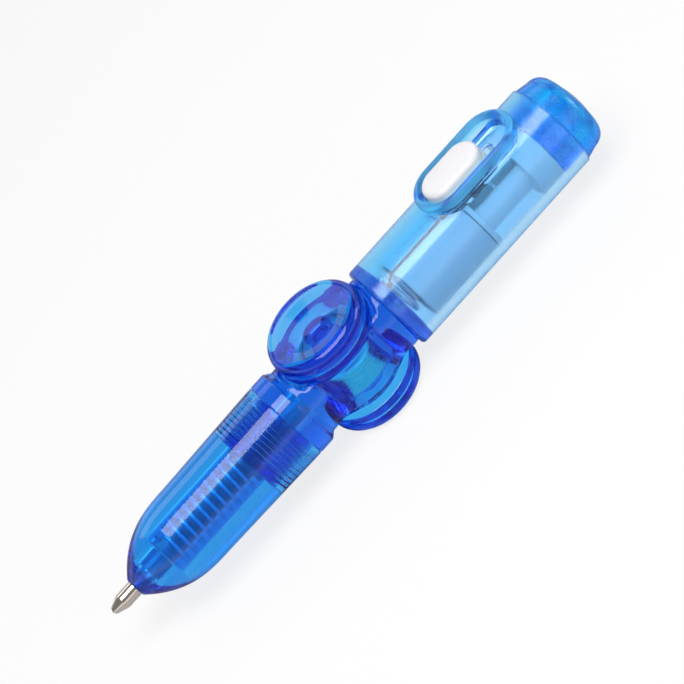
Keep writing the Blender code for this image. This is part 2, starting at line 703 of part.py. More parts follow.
def add_torch_barrel(materials, hub):
    corner = arc(TUBE_START + TUBE_ROUNDING, TUBE_RADIUS - TUBE_ROUNDING, TUBE_ROUNDING, 180, 90,
                 ARC_STEPS)
    tube = [(TUBE_START, TUBE_BORE), *corner, (TUBE_END, TUBE_RADIUS), (TUBE_END, TUBE_BORE)]
    piece = add_object("torch_barrel", turned_on_pen("tube", tube), materials["clear_blue"], hub)

    def prism(name, length, width, low, high, centre=BEZEL_CENTRE):
        return lofted(name, [stadium(centre, length, width, height) for height in (low, high)])

    slot_end = STEM_END + SWITCH_TRAVEL + SLIP_GAP
    slot_start = STEM_START - SLIP_GAP
    slot_half = STEM_WIDTH / 2 + SLIP_GAP
    cap_seat = round_bar("cap_seat", HOLDER_END, CAP_END, TUBE_BORE, BIG_ROUND)
    cut(piece, prism("bezel", BEZEL_LENGTH, BEZEL_WIDTH, BED_HEIGHT, RIM_HEIGHT), "UNION")
    cut(piece, prism("switch_pocket", POCKET_LENGTH, POCKET_WIDTH, POCKET_BOTTOM,
                     RIM_HEIGHT + SLIDER_PROUD))
    cut(piece, block("switch_slot", slot_start, slot_end, -slot_half, slot_half, 0, RIM_HEIGHT))
    cut(piece, cap_seat)


def add_end_cap(materials, hub):
    skirt = TUBE_RADIUS - CAP_STEP
    skirt_top = CAP_START + CAP_SKIRT_LENGTH
    shoulder = skirt - CAP_SKIRT_DRAFT
    crown_place = CAP_END - CAP_CROWN_DROP
    crown = [
        (skirt_top + (crown_place - skirt_top) * math.sin(a),
         CAP_CROWN_RADIUS + (shoulder - CAP_CROWN_RADIUS) * math.cos(a))
        for a in (0, math.pi / 6, math.pi / 3, math.pi / 2)
    ]
    outline = [
        (CAP_END, 0),
        (CAP_END, CAP_TOP_RADIUS),
        *reversed(crown),
        (CAP_START, skirt),
        (CAP_START, PLUG_RADIUS),
        (CAP_PLUG_END, PLUG_RADIUS),
        (CAP_PLUG_END, LED_WELL_RADIUS),
        (CAP_END - CAP_WALL - CAP_CROWN_DROP, LED_WELL_RADIUS),
        (CAP_END - CAP_WALL, 0),
    ]
    add_object("end_cap", turned_on_pen("end_cap", outline), materials["mid_blue"], hub)


def add_switch(materials, hub):
    low = POCKET_BOTTOM + SEAT_GAP
    base_top = low + SLIDER_BASE_THICKNESS
    top = RIM_HEIGHT + SLIDER_PROUD
    centre = SLIDER_START + SLIDER_LENGTH / 2
    dome_centre = SLIDER_START + SLIP_GAP + DOME_LENGTH / 2
    sections = [
        stadium(centre, SLIDER_LENGTH, SLIDER_WIDTH, low),
        stadium(centre, SLIDER_LENGTH, SLIDER_WIDTH, base_top),
    ]
    edges = [(0, base_top), *((DOME_EDGE * (1 - math.cos(a)), top - DOME_EDGE * (1 - math.sin(a)))
                              for a in (0, math.pi / 6, math.pi / 3, math.pi / 2))]
    sections += [stadium(dome_centre, DOME_LENGTH - 2 * inset, DOME_WIDTH - 2 * inset, height)
                 for inset, height in edges]
    slider = add_object("switch_slider", lofted("switch_slider", sections), materials["white_plastic"], hub)
    stem = block("switch_stem", STEM_START, STEM_END, -STEM_WIDTH / 2, STEM_WIDTH / 2,
                 CORE_FLAT + SEAT_GAP, low + SLIDER_BASE_THICKNESS / 2)
    cut(slider, stem, "UNION")

    lip = LEAF_REACH - LEAF_THICKNESS
    lip_bottom = math.sqrt((CONTACT_RADIUS + CONTACT_THICKNESS) ** 2 - lip ** 2) + SLIP_GAP
    profile = [
        (STEM_WIDTH / 2, CORE_FLAT),
        (-LEAF_REACH, CORE_FLAT),
        (-LEAF_REACH, lip_bottom),
        (-lip, lip_bottom),
        (-lip, LEAF_BOTTOM),
        (STEM_WIDTH / 2, LEAF_BOTTOM),
    ]
    leaf = lofted("switch_leaf", [[point(u, side, height) for side, height in profile]
                                  for u in (STEM_START, STEM_END)])
    add_object("switch_leaf", leaf, materials["contact_steel"], hub)


def add_battery(materials, hub):
    places = coil(PLUG_END + SEAT_GAP, CELL_START - SEAT_GAP, BATTERY_SPRING_TURNS, BATTERY_SPRING_BASE / 2,
                  BATTERY_SPRING_TOP / 2, BATTERY_SPRING_WIRE)
    print("battery_spring least gap to itself, mm:", round(least_gap(places, BATTERY_SPRING_WIRE), 3))
    wire("battery_spring", places, BATTERY_SPRING_WIRE, materials["spring_steel"], hub)

    can = CELL_DIAMETER / 2
    for i in range(CELL_COUNT):
        start = CELL_START + i * CELL_STEP
        end = start + CELL_HEIGHT
        outline = [(start, 0), (start, can - CELL_BUTTON_STEP), (start + CELL_EDGE, can - CELL_EDGE),
                   (start + CELL_EDGE, can), (end - CELL_EDGE, can), (end, can - CELL_EDGE), (end, 0)]
        name = f"button_cell_{i + 1}"
        add_object(name, turned_on_pen(name, outline, SMALL_ROUND), materials["cell_can"], hub)

    plate = round_bar("positive_plate", CELL_END, PLATE_END, can)
    add_object("positive_plate", plate, materials["brass"], hub)
    sleeve = [(SLEEVE_START, SLEEVE_BORE), (SLEEVE_START, PLUG_RADIUS), (PLATE_END, PLUG_RADIUS),
              (PLATE_END, SLEEVE_BORE)]
    piece = add_object("battery_sleeve", turned_on_pen("sleeve", sleeve), materials["pale_plastic"], hub)
    cut(piece, flat_cutter("sleeve_flat", CORE_FLAT))


def flat_cutter(name, height):
    """Takes the top off what lies under the switch's bed."""
    return block(name, PLUG_END, CAP_START, -TUBE_RADIUS, TUBE_RADIUS, height, TUBE_RADIUS)


def add_lamp(materials, hub):
    lead_bore = LEAD_SPACING / 2 + LEAD_DIAMETER / 2 + SLIP_GAP
    holder = [
        (HOLDER_START, lead_bore),
        (HOLDER_START, PLUG_RADIUS),
        (HOLDER_START + HOLDER_END_FLANGE, PLUG_RADIUS),
        (HOLDER_START + HOLDER_END_FLANGE, HOLDER_RADIUS),
        (HOLDER_SHOULDER, HOLDER_RADIUS),
        (HOLDER_SHOULDER, PLUG_RADIUS),
        (HOLDER_END, PLUG_RADIUS),
        (HOLDER_END, LED_WELL_RADIUS),
        (LED_BASE - SEAT_GAP, LED_WELL_RADIUS),
        (LED_BASE - SEAT_GAP, lead_bore),
    ]
    piece = add_object("led_holder", turned_on_pen("holder", holder), materials["pale_plastic"], hub)
    cut(piece, flat_cutter("holder_flat", LEAF_BOTTOM - SEAT_GAP))

    lens = LED_DIAMETER / 2
    flange_top = LED_BASE + LED_FLANGE_THICKNESS
    dome = arc(LED_TOP - lens, 0, lens, 90, 0, ARC_STEPS)
    led = [(LED_BASE, 0), (LED_BASE, LED_FLANGE_RADIUS), (flange_top, LED_FLANGE_RADIUS), (flange_top, lens),
           *dome[:-1], (LED_TOP, 0)]
    add_object("led", turned_on_pen("led", led, SMALL_ROUND), materials["lens_clear"], hub)

    way_deg = (CONTACT_START_DEG + CONTACT_END_DEG) / 2
    lead = LEAD_SPACING / 2

    def lead_place(u, radius):
        return point(u, *around(way_deg, radius))

    slot_half = LEAD_SLOT_WIDTH / 2
    across = Vector((0.0, math.cos(math.radians(way_deg)), math.sin(math.radians(way_deg)))) * slot_half * MM
    sections = []
    for radius in (lead / 2, HOLDER_RADIUS + CONTACT_THICKNESS):
        near = lead_place(LEAD_BEND - slot_half, radius)
        far = lead_place(LEAD_BEND + slot_half, radius)
        sections.append([near - across, near + across, far + across, far - across])
    cut(piece, lofted("lead_slot", sections))

    top = LED_BASE - SEAT_GAP
    wire("led_anode_lead", [lead_place(u, -lead) for u in (PLATE_END + SEAT_GAP, LEAD_BEND, top)],
         LEAD_DIAMETER, materials["spring_steel"], hub)
    bend = LEAD_DIAMETER
    wire("led_cathode_lead",
         [lead_place(top, lead), lead_place(LEAD_BEND + bend, lead), lead_place(LEAD_BEND, lead + bend),
          lead_place(LEAD_BEND, HOLDER_RADIUS)],
         LEAD_DIAMETER, materials["spring_steel"], hub)

    def contact(name, start, end):
        sections = []
        for i in range(HALF_ROUND + 1):
            angle = CONTACT_START_DEG + (CONTACT_END_DEG - CONTACT_START_DEG) * i / HALF_ROUND
            inner = around(angle, CONTACT_RADIUS)
            outer = around(angle, CONTACT_RADIUS + CONTACT_THICKNESS)
            corners = ((start, *inner), (end, *inner), (end, *outer), (start, *outer))
            sections.append([point(*corner) for corner in corners])
        add_object(name, lofted(name, sections), materials["contact_steel"], hub)

    contact("return_contact", CONTACT_START, RETURN_CONTACT_END)
    contact("lamp_contact", LAMP_CONTACT_START, LAMP_CONTACT_END)

    run_height = CORE_FLAT + SEAT_GAP + RETURN_WIRE / 2
    spring_reach = BATTERY_SPRING_BASE / 2 + BATTERY_SPRING_WIRE / 2 + SLIP_GAP + RETURN_WIRE / 2
    spring_height = math.sqrt(spring_reach ** 2 - RETURN_WIRE_SIDE ** 2)
    contact_reach = CONTACT_RADIUS + CONTACT_THICKNESS + SEAT_GAP + RETURN_WIRE / 2
    contact_height = math.sqrt(contact_reach ** 2 - RETURN_WIRE_SIDE ** 2)
    low = PLUG_END + SLIP_GAP + RETURN_WIRE
    route = [(low, spring_height), (SLEEVE_START - RETURN_WIRE, run_height), (CONTACT_START, run_height),
             (CONTACT_START + 2 * RETURN_WIRE, contact_height)]
    wire("return_wire", [point(u, -RETURN_WIRE_SIDE, height) for u, height in route], RETURN_WIRE,
         materials["copper"], hub)


def main():
    for leftover in list(bpy.data.objects):
        bpy.data.objects.remove(leftover)
    materials = {name: make_material(name) for name in COLOURS}
    hub = bpy.data.objects.new("hub_centre", None)
    bpy.context.collection.objects.link(hub)
    hub.location = point(0, 0, AXIS_HEIGHT)
    add_pad("finger_pad_top", 1, materials, hub)
    add_pad("finger_pad_bottom", -1, materials, hub)
    add_bearing(materials, hub)
    add_frame(materials, hub)
    add_front_barrel(materials, hub)
    add_refill(materials, hub)
    add_torch_barrel(materials, hub)
    add_end_cap(materials, hub)
    add_switch(materials, hub)
    add_battery(materials, hub)
    add_lamp(materials, hub)
    bpy.context.view_layer.update()


main()
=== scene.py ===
"""The looks of the spinning pen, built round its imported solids.

Shapes are made in millimetres, from the hub's centre: a place u lies on the pen's axis and grows towards the
cap, sides are along Y, and heights are measured from the pen's axis. A finished piece is brought to metres.
"""

import math

import bmesh
import bpy
import numpy as np
from mathutils import Matrix, Vector


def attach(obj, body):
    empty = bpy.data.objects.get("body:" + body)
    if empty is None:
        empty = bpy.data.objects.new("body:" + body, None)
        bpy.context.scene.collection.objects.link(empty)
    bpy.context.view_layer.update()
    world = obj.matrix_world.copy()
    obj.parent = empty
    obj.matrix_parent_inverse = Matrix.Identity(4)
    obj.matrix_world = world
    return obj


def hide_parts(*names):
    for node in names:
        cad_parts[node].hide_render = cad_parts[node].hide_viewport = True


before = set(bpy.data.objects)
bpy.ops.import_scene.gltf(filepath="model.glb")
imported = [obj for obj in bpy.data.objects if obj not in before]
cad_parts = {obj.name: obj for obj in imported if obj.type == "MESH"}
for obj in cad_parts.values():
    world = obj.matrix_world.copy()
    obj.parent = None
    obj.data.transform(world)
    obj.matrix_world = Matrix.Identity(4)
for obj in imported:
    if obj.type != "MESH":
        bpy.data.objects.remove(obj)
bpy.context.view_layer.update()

MM = 0.001
AXIS_HEIGHT = 8.0
TO_ROW = Matrix.Scale(MM, 4) @ Matrix.Translation((0, 0, AXIS_HEIGHT))

# Room between pieces that meet
FIT = 0.05

# Facets
ROUND = 128
MID_ROUND = 96
SMALL_ROUND = 64
BALL_SUBDIVISIONS = 4
STADIUM_STEPS = 24
SLOT_STEPS = 8
FILLET_STEPS = 6
NOSE_STEPS = 40
DOME_STEPS = 16
SLIDER_EDGE_STEPS = 8
THREAD_STEPS = 8
COIL_STEPS = 44
WIRE_SIDES = 14
WIRE_ENDING = ((0, 0.6), (0.1, 0.9), (0.3, 1))
HUB_GRID_LOW = (-11.03, -7.03, -6.53)
HUB_GRID_HIGH = (9.0, 7.0, 6.5)
HUB_GRID_STEP = 0.16
LEAST_SLOPE = 0.05
SHARP_DEG = 38.0
SLIVER = 0.0005

# Hub
RING_RADIUS = 6.4
RING_FACE = 4.05
RING_EDGE = 0.6
NECK_EDGE = 1.2
HUB_FILLET = 1.2
BEARING_RADIUS = 5.0
BEARING_TOP = 2.0
RACE_SHOULDER_RADIUS = 3.904
RACEWAY_RADIUS = 4.06
RACEWAY_EDGE = 0.45
RACEWAY_FLOOR = 0.2
POCKET_RADIUS = 5.05
LIP_RADIUS = 4.3
POCKET_PAST = 0.6
POCKET_FLARE = 0.4
PAD_INNER = 4.4
PAD_OUTER = 8.0
PAD_RADIUS = 7.149
PAD_CLEAR_RADIUS = 7.5
PAD_EDGE = 1.5
PAD_GROOVE_PLACES = (5.58, 5.66, 5.84, 5.92)
PAD_GROOVE_DEPTH = 0.3
DISH_RADIUS = 4.55
DISH_DEPTH = 0.4
GATE_MARK_TURN = 237.0
GATE_MARK_HEIGHT = 6.5
GATE_MARK_BALL = 0.6
GATE_MARK_DEPTH = 0.16
STUB_END = 0.05
STUB_RADIUS = 1.45
BOSS_START = 2.05
BOSS_RADIUS = 2.2

# Pen side
PEN_NECK_RADIUS = 5.45
PEN_NECK_END = -10.0
COLLAR_ROOT = -7.6
COLLAR_BLEND = -7.9
COLLAR_START = -8.9
COLLAR_END = -11.1
COLLAR_RADIUS = 6.13
THREAD_END = -18.35
THREAD_ROOT = 4.45
THREAD_DEPTH = 0.35
THREAD_PITCH = 0.68
THREAD_ROUNDNESS = 0.7
THREAD_MARGIN = 0.35
THREAD_FADE_STEPS = 10
SOCKET_RADIUS = 4.88
SOCKET_DEPTH = 0.2
SOCKET_BOTTOM = -18.45
MOUTH = -11.15
WAIST_RADIUS = 5.81
NOSE_START = -28.23
NOSE_END = -39.85
NOSE_END_RADIUS = 1.47
NOSE_FULLNESS = 2.8
TIP_BORE = 1.25
GUIDE_START = -36.61
GUIDE_RADIUS = 1.7
CHAMBER_START = -33.91
CHAMBER_RADIUS = 3.2
TIP_END = -44.21
TIP_RADIUS = 1.15
TIP_MOUTH = TIP_END + 0.18
TIP_MOUTH_BORE = 0.335
TIP_MOUTH_RADIUS = 0.5
CONE_START = TIP_END + 0.55
CONE_START_RADIUS = 0.66
CONE_END = TIP_END + 1.88
CONE_END_RADIUS = TIP_RADIUS - 0.03
TIP_STRAIGHT = TIP_END + 1.95
TIP_SHADING_RING = TIP_END + 2.1
BALL_SEAT = TIP_END + 0.35
BALL_SEAT_RADIUS = 0.4
INK_CHANNEL_END = TIP_END + 0.75
INK_CHANNEL_RADIUS = 0.25
REFILL_START = -36.51
REFILL_END = -8.0
REFILL_RADIUS = 1.6
REFILL_BORE = 1.05
FLANGE_FRONT = -19.15
FLANGE_BACK = -18.4
FLANGE_RADIUS = 2.9
SHANK_END = -33.51
SHANK_RADIUS = 1.0
INK_RADIUS = 1.0
MENISCUS_RADIUS = 0.5
MENISCUS_ROUNDING = 0.4
FOLLOWER_START = -15.3
FOLLOWER_END = -13.5
SPRING_COIL = 2.6
SPRING_WIRE = 0.6
SPRING_TURNS = 10

# Torch side
TORCH_NECK_RADIUS = 5.75
TORCH_NECK_END = 7.95
TORCH_NECK_EDGE = 0.3
TUBE_START = 8.0
TUBE_END = 39.8
TUBE_RADIUS = 6.6
TUBE_BORE = 5.4
TUBE_ROUNDING = 0.5
TUBE_RING_STEP = 0.5
PLUG_RADIUS = 5.3
PLUG_PRESSED = 5.42
PLUG_END = 9.9
CAP_START = 39.85
CAP_END = 44.21
CAP_SKIRT_TOP = 41.75
CAP_SKIRT_RADIUS = 6.4
CAP_SHOULDER_RADIUS = 6.0
CAP_CROWN_RADIUS = 4.1
CAP_CROWN_DROP = 0.4
CAP_FLAT_RADIUS = 2.5
CAP_FLAT_ROUNDING = 2.0
CAP_PLUG_END = 36.3
LED_WELL_RADIUS = 3.0
CAP_ROOF = 43.01

# Switch
BEZEL_CENTRE = 28.4
BEZEL_LENGTH = 16.5
BEZEL_WIDTH = 8.7
RIM_HEIGHT = 7.45
RIM_ROUNDING = 0.6
RIM_LEAN = 0.9
RIM_HAZE_START = 0.2
BED_HEIGHT = 4.75
POCKET_LENGTH = 13.9
POCKET_WIDTH = 6.1
POCKET_BOTTOM = 5.32
SLOT_START = 25.8
SLOT_END = 32.5
SLOT_WIDTH = 2.0
SLIDER_START = 21.55
SLIDER_LENGTH = 9.5
SLIDER_WIDTH = 5.9
SLIDER_TOP = 8.15
SLIDER_BASE = 0.9
SLIDER_CHAMFER = 0.1
SLIDER_EDGE = 0.75
SLIDER_CROWN = 0.12
DOME_SETBACK = 0.1
DOME_LENGTH = 9.3
DOME_WIDTH = 5.3
STEM_START = 25.9
STEM_END = 28.2
STEM_WIDTH = 1.8
CORE_FLAT = 4.35
FLAT_REACH = 7

# Battery and light
SLEEVE_START = 11.8
SLEEVE_BORE = 4.05
PLATE_END = 23.55
BATTERY_SPRING_WIRE = 0.45
BATTERY_SPRING_TURNS = 2
BATTERY_SPRING_END = SLEEVE_START + 0.45
BATTERY_SPRING_WIDE = 3.6
BATTERY_SPRING_NARROW = 1.7
HOLDER_START = 23.65
HOLDER_FLANGE_END = 24.45
HOLDER_RADIUS = 3.6
HOLDER_SHOULDER = 32.55
HOLDER_END = 36.2
HOLDER_FLAT = 4.05
LEAD_BORE = 1.62
LED_BASE = 34.0
LED_TOP = 42.6
LED_RADIUS = 2.5
LED_FLANGE_TOP = 35.0
LED_FLANGE_RADIUS = 2.9
WIRE_SIDE = -1.8
WIRE_RUN = CORE_FLAT + 0.2
WIRE_PLACES = ((10.3, 3.63), (10.9, 4.1), (11.5, WIRE_RUN), (13.0, WIRE_RUN), (18.0, WIRE_RUN),
               (23.0, WIRE_RUN), (24.55, WIRE_RUN), (24.85, 4.2), (25.15, 3.8))
WIRE_DIAMETER = 0.3
SOLDER_PLACE = (10.4, -2.0, 3.7)
SOLDER_RADIUS = 0.38

# Materials
CLEAR_IOR = 1.5
OPAQUE_IOR = 1.48
NOISE_LOW = 0.3
NOISE_HIGH = 0.7

# Stage, light and camera. Lengths are in metres, apart from the camera's sensor and lens
FLOOR_REACH = 3.0
FLOOR_DROP = 0.02 * MM
FLOOR_GLOW = 0.8
FLOOR_MIRRORED = 0.5
ROOM_HORIZON = 0.05
ROOM_CEILING = 0.45
ROOM_BRIGHT = 1.0
ROOM_DARK = 0.2
BOUNCES = 128
CAMERA_AZIMUTH = -1.6
CAMERA_ELEVATION = 39.4
CAMERA_ROLL = -46.98
CAMERA_DISTANCE = 0.3
CAMERA_RIGHT = 0.00108
CAMERA_UP = 0.00138
CAMERA_SENSOR = 36.0
CAMERA_LENS = 123.08
CAMERA_CLIP = (0.01, 20.0)


# Shape tools

def rounded(corners, closed=False):
    """Points of an outline of (along, radius, fillet) corners, with an arc at each corner that has a fillet."""
    points = []
    for i, (along, radius, fillet) in enumerate(corners):
        at_end = not closed and i in (0, len(corners) - 1)
        here = Vector((along, radius))
        if at_end or not fillet:
            points.append((along, radius))
            continue
        before = (Vector(corners[i - 1][:2]) - here).normalized()
        after = (Vector(corners[(i + 1) % len(corners)][:2]) - here).normalized()
        half = before.angle(after) / 2
        start = here + before * fillet / math.tan(half)
        centre = here + (before + after).normalized() * fillet / math.sin(half)
        arm = start - centre
        turn = (math.pi - 2 * half) * math.copysign(1, before.x * after.y - before.y * after.x)
        for k in range(FILLET_STEPS + 1):
            angle = -turn * k / FILLET_STEPS
            c, s = math.cos(angle), math.sin(angle)
            points.append((centre.x + arm.x * c - arm.y * s, centre.y + arm.x * s + arm.y * c))
    return points


def screw(along, angle):
    """Height of the screw ridge, from 0 to 1, at a place and an angle round the pen."""
    wave = math.cos(2 * math.pi * along / THREAD_PITCH + angle)
    return 0.5 + 0.5 * math.copysign(abs(wave) ** THREAD_ROUNDNESS, wave)


def finished(name, bm):
    """A mesh of a built shape, with all its faces looking out."""
    bmesh.ops.recalc_face_normals(bm, faces=bm.faces)
    mesh = bpy.data.meshes.new(name)
    bm.to_mesh(mesh)
    bm.free()
    return mesh


def turned(name, outline, segments=ROUND, upright=False):
    """Turns (along, radius) or (along, radius, ridge) points about the pen's axis, or about the hub's."""
    bm = bmesh.new()
    rings = []
    for along, radius, *ridge in outline:
        count = segments if radius > 0 else 1
        ring = []
        for k in range(count):
            angle = 2 * math.pi * k / segments
            reach = radius + (ridge[0] * screw(along, angle) if ridge else 0)
            a, b = reach * math.sin(angle), reach * math.cos(angle)
            ring.append(bm.verts.new((b, a, along) if upright else (along, a, b)))
        rings.append(ring)
    pairs = list(zip(rings, rings[1:]))
    if outline[0][1] > 0 and outline[-1][1] > 0:
        pairs.append((rings[-1], rings[0]))
    for lower, upper in pairs:
        for k in range(segments):
            j = (k + 1) % segments
            if len(lower) == 1:
                bm.faces.new((lower[0], upper[j], upper[k]))
            elif len(upper) == 1:
                bm.faces.new((lower[k], lower[j], upper[0]))
            else:
                bm.faces.new((lower[k], lower[j], upper[j], upper[k]))
    return finished(name, bm)


def lofted(name, rings):
    """Joins equal rings of points into a closed solid with flat ends."""
    bm = bmesh.new()
    rows = [[bm.verts.new(place) for place in ring] for ring in rings]
    for lower, upper in zip(rows, rows[1:]):
        for k in range(len(lower)):
            j = (k + 1) % len(lower)
            bm.faces.new((lower[k], lower[j], upper[j], upper[k]))
    bm.faces.new(rows[0])
    bm.faces.new(rows[-1])
    return finished(name, bm)


def stadium(centre, length, width, height, steps=STADIUM_STEPS):
    """A ring of points round a stadium that lies along the pen."""
    radius = width / 2
    reach = length / 2 - radius
    ring = []
    for start, shift in ((-90, reach), (90, -reach)):
        for k in range(steps + 1):
            angle = math.radians(start + 180 * k / steps)
            ring.append((centre + shift + radius * math.cos(angle), radius * math.sin(angle), height))
    return ring


def swept(name, path, diameter, sides=WIRE_SIDES):
    """A round wire along a path of points, with domed ends."""
    path = [Vector(p) for p in path]
    ways = [(b - a).normalized() for a, b in zip(path, path[1:])]
    ways = [ways[0], *((a + b).normalized() for a, b in zip(ways, ways[1:])), ways[-1]]
    radius = diameter / 2
    across = ways[0].orthogonal().normalized()
    bm = bmesh.new()
    rows = []
    for i, (place, way) in enumerate(zip(path, ways)):
        across = (across - way * across.dot(way)).normalized()
        other = way.cross(across)
        sizes = [(0, 1)]
        if i == 0:
            sizes = WIRE_ENDING
        elif i == len(path) - 1:
            sizes = [(-inset, share) for inset, share in reversed(WIRE_ENDING)]
        for inset, share in sizes:
            row = []
            for k in range(sides):
                angle = 2 * math.pi * k / sides
                arm = across * math.cos(angle) + other * math.sin(angle)
                row.append(bm.verts.new(place + way * inset * radius + arm * radius * share))
            rows.append(row)
    for lower, upper in zip(rows, rows[1:]):
        for k in range(sides):
            j = (k + 1) % sides
            bm.faces.new((lower[k], lower[j], upper[j], upper[k]))
    bm.faces.new(rows[0])
    bm.faces.new(rows[-1])
    return finished(name, bm)


def ball(name, place, radius):
    bm = bmesh.new()
    bmesh.ops.create_icosphere(bm, subdivisions=BALL_SUBDIVISIONS, radius=radius,
                               matrix=Matrix.Translation(place))
    return finished(name, bm)


def rough(mesh):
    """An object for making shapes with, in millimetres."""
    piece = bpy.data.objects.new(mesh.name, mesh)
    bpy.context.scene.collection.objects.link(piece)
    return piece


def evaluated(piece):
    """Puts the result of a shape's modifiers in its mesh."""
    bpy.context.view_layer.update()
    made = bpy.data.meshes.new_from_object(piece.evaluated_get(bpy.context.evaluated_depsgraph_get()))
    piece.modifiers.clear()
    piece.data = made


def combine(piece, mesh, operation):
    """Joins another mesh to a shape, or cuts it out."""
    tool = rough(mesh)
    modifier = piece.modifiers.new("combine", "BOOLEAN")
    modifier.operation = operation
    modifier.solver = "EXACT"
    modifier.object = tool
    evaluated(piece)
    bpy.data.objects.remove(tool)


def released(piece):
    """The mesh of a combined shape, without the slivers that combining leaves."""
    mesh = piece.data
    bpy.data.objects.remove(piece)
    bm = bmesh.new()
    bm.from_mesh(mesh)
    bmesh.ops.dissolve_degenerate(bm, dist=SLIVER, edges=bm.edges)
    many_sided = [face for face in bm.faces if len(face.verts) > 4]
    bmesh.ops.triangulate(bm, faces=many_sided, ngon_method="BEAUTY")
    bm.to_mesh(mesh)
    bm.free()
    return mesh


def add_piece(name, mesh, material, body, slot, *nodes):
    """Makes a finished piece in metres, riding on a body in place of its solids."""
    mesh.transform(TO_ROW)
    mesh.materials.clear()
    mesh.materials.append(material)
    mesh.shade_smooth()
    mesh.set_sharp_from_angle(angle=math.radians(SHARP_DEG))
    piece = bpy.data.objects.new(name, mesh)
    bpy.context.scene.collection.objects.link(piece)
    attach(piece, body)
    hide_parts(*nodes)
    return piece


# Material tools

def blank(name):
    material = bpy.data.materials.new(name)
    material.use_nodes = True
    return material, material.node_tree, material.node_tree.nodes["Principled BSDF"]


def pattern(tree, scale, detail=3.0, stretch=(1, 1, 1)):
    """A noise pattern that stays on the piece. Its scale is in waves to a millimetre."""
    place = tree.nodes.new("ShaderNodeTexCoord")
    mapping = tree.nodes.new("ShaderNodeMapping")
    noise = tree.nodes.new("ShaderNodeTexNoise")
    mapping.inputs["Scale"].default_value = [s / MM for s in stretch]
    noise.inputs["Scale"].default_value = scale
    noise.inputs["Detail"].default_value = detail
    tree.links.new(place.outputs["Object"], mapping.inputs["Vector"])
    tree.links.new(mapping.outputs["Vector"], noise.inputs["Vector"])
    return noise.outputs["Fac"]


def ranged(tree, value, low, high):
    """A noise pattern spread over a range of values."""
    node = tree.nodes.new("ShaderNodeMapRange")
    node.inputs["From Min"].default_value = NOISE_LOW
    node.inputs["From Max"].default_value = NOISE_HIGH
    node.inputs["To Min"].default_value = low
    node.inputs["To Max"].default_value = high
    tree.links.new(value, node.inputs["Value"])
    return node.outputs["Result"]


def blended(tree, value, first, second):
    node = tree.nodes.new("ShaderNodeMix")
    node.data_type = "RGBA"
    node.inputs["A"].default_value = (*first, 1)
    node.inputs["B"].default_value = (*second, 1)
    tree.links.new(value, node.inputs["Factor"])
    return node.outputs["Result"]


def bumped(tree, shader, value, depth):
    """Raises the surface by a pattern. The depth is in millimetres."""
    node = tree.nodes.new("ShaderNodeBump")
    node.inputs["Strength"].default_value = 1.0
    node.inputs["Distance"].default_value = depth * MM
    tree.links.new(value, node.inputs["Height"])
    tree.links.new(node.outputs["Normal"], shader.inputs["Normal"])


def rim_share(tree):
    """How far a place is up the switch's raised rim, from 0 to 1."""
    place = tree.nodes.new("ShaderNodeTexCoord")
    parts = tree.nodes.new("ShaderNodeSeparateXYZ")
    rise = tree.nodes.new("ShaderNodeMapRange")
    rise.interpolation_type = "SMOOTHSTEP"
    rise.inputs["From Min"].default_value = (AXIS_HEIGHT + POCKET_BOTTOM + RIM_HAZE_START) * MM
    rise.inputs["From Max"].default_value = (AXIS_HEIGHT + RIM_HEIGHT - RIM_ROUNDING) * MM
    tree.links.new(place.outputs["Object"], parts.inputs["Vector"])
    tree.links.new(parts.outputs["Z"], rise.inputs["Value"])
    return rise.outputs["Result"]


def going_over(tree, share, value, other, kind):
    """A linked value that goes over to a fixed one by a share."""
    node = tree.nodes.new("ShaderNodeMix")
    node.data_type = kind
    node.inputs["B"].default_value = other
    tree.links.new(value, node.inputs["A"])
    tree.links.new(share, node.inputs["Factor"])
    return node.outputs["Result"]


def tinted_clear(name, tint, density, haze, body, rim_haze=None, rim_body=None):
    """Tinted clear plastic, coloured by the depth that light goes through. A raised rim can be hazier."""
    material, tree, shader = blank(name)
    shader.inputs["Transmission Weight"].default_value = 1.0
    shader.inputs["IOR"].default_value = CLEAR_IOR
    flow = pattern(tree, 0.12, 2.0, (0.35, 1, 1))
    paler = [0.1 + 0.9 * c for c in body]
    colour = blended(tree, flow, body, paler)
    sheen = ranged(tree, pattern(tree, 0.6, 4.0), haze * 0.5, haze * 1.5)
    if rim_haze:
        share = rim_share(tree)
        colour = going_over(tree, share, colour, (*rim_body, 1), "RGBA")
        sheen = going_over(tree, share, sheen, rim_haze, "FLOAT")
    tree.links.new(colour, shader.inputs["Base Color"])
    tree.links.new(sheen, shader.inputs["Roughness"])
    bumped(tree, shader, pattern(tree, 0.35, 2.0, (0.5, 1, 1)), 0.0025)
    volume = tree.nodes.new("ShaderNodeVolumeAbsorption")
    volume.inputs["Color"].default_value = (*tint, 1)
    volume.inputs["Density"].default_value = density
    tree.links.new(volume.outputs["Volume"], tree.nodes["Material Output"].inputs["Volume"])
    return material


def moulded(name, first, second, roughness, grain, depth):
    """Opaque moulded plastic with a fine grain and an uneven sheen."""
    material, tree, shader = blank(name)
    shader.inputs["IOR"].default_value = OPAQUE_IOR
    shader.inputs["Subsurface Weight"].default_value = 0.15
    shader.inputs["Subsurface Scale"].default_value = 0.4 * MM
    tree.links.new(blended(tree, pattern(tree, 0.25, 3.0), first, second), shader.inputs["Base Color"])
    sheen = ranged(tree, pattern(tree, 0.9), roughness * 0.8, roughness * 1.25)
    tree.links.new(sheen, shader.inputs["Roughness"])
    bumped(tree, shader, pattern(tree, grain, 4.0), depth)
    return material


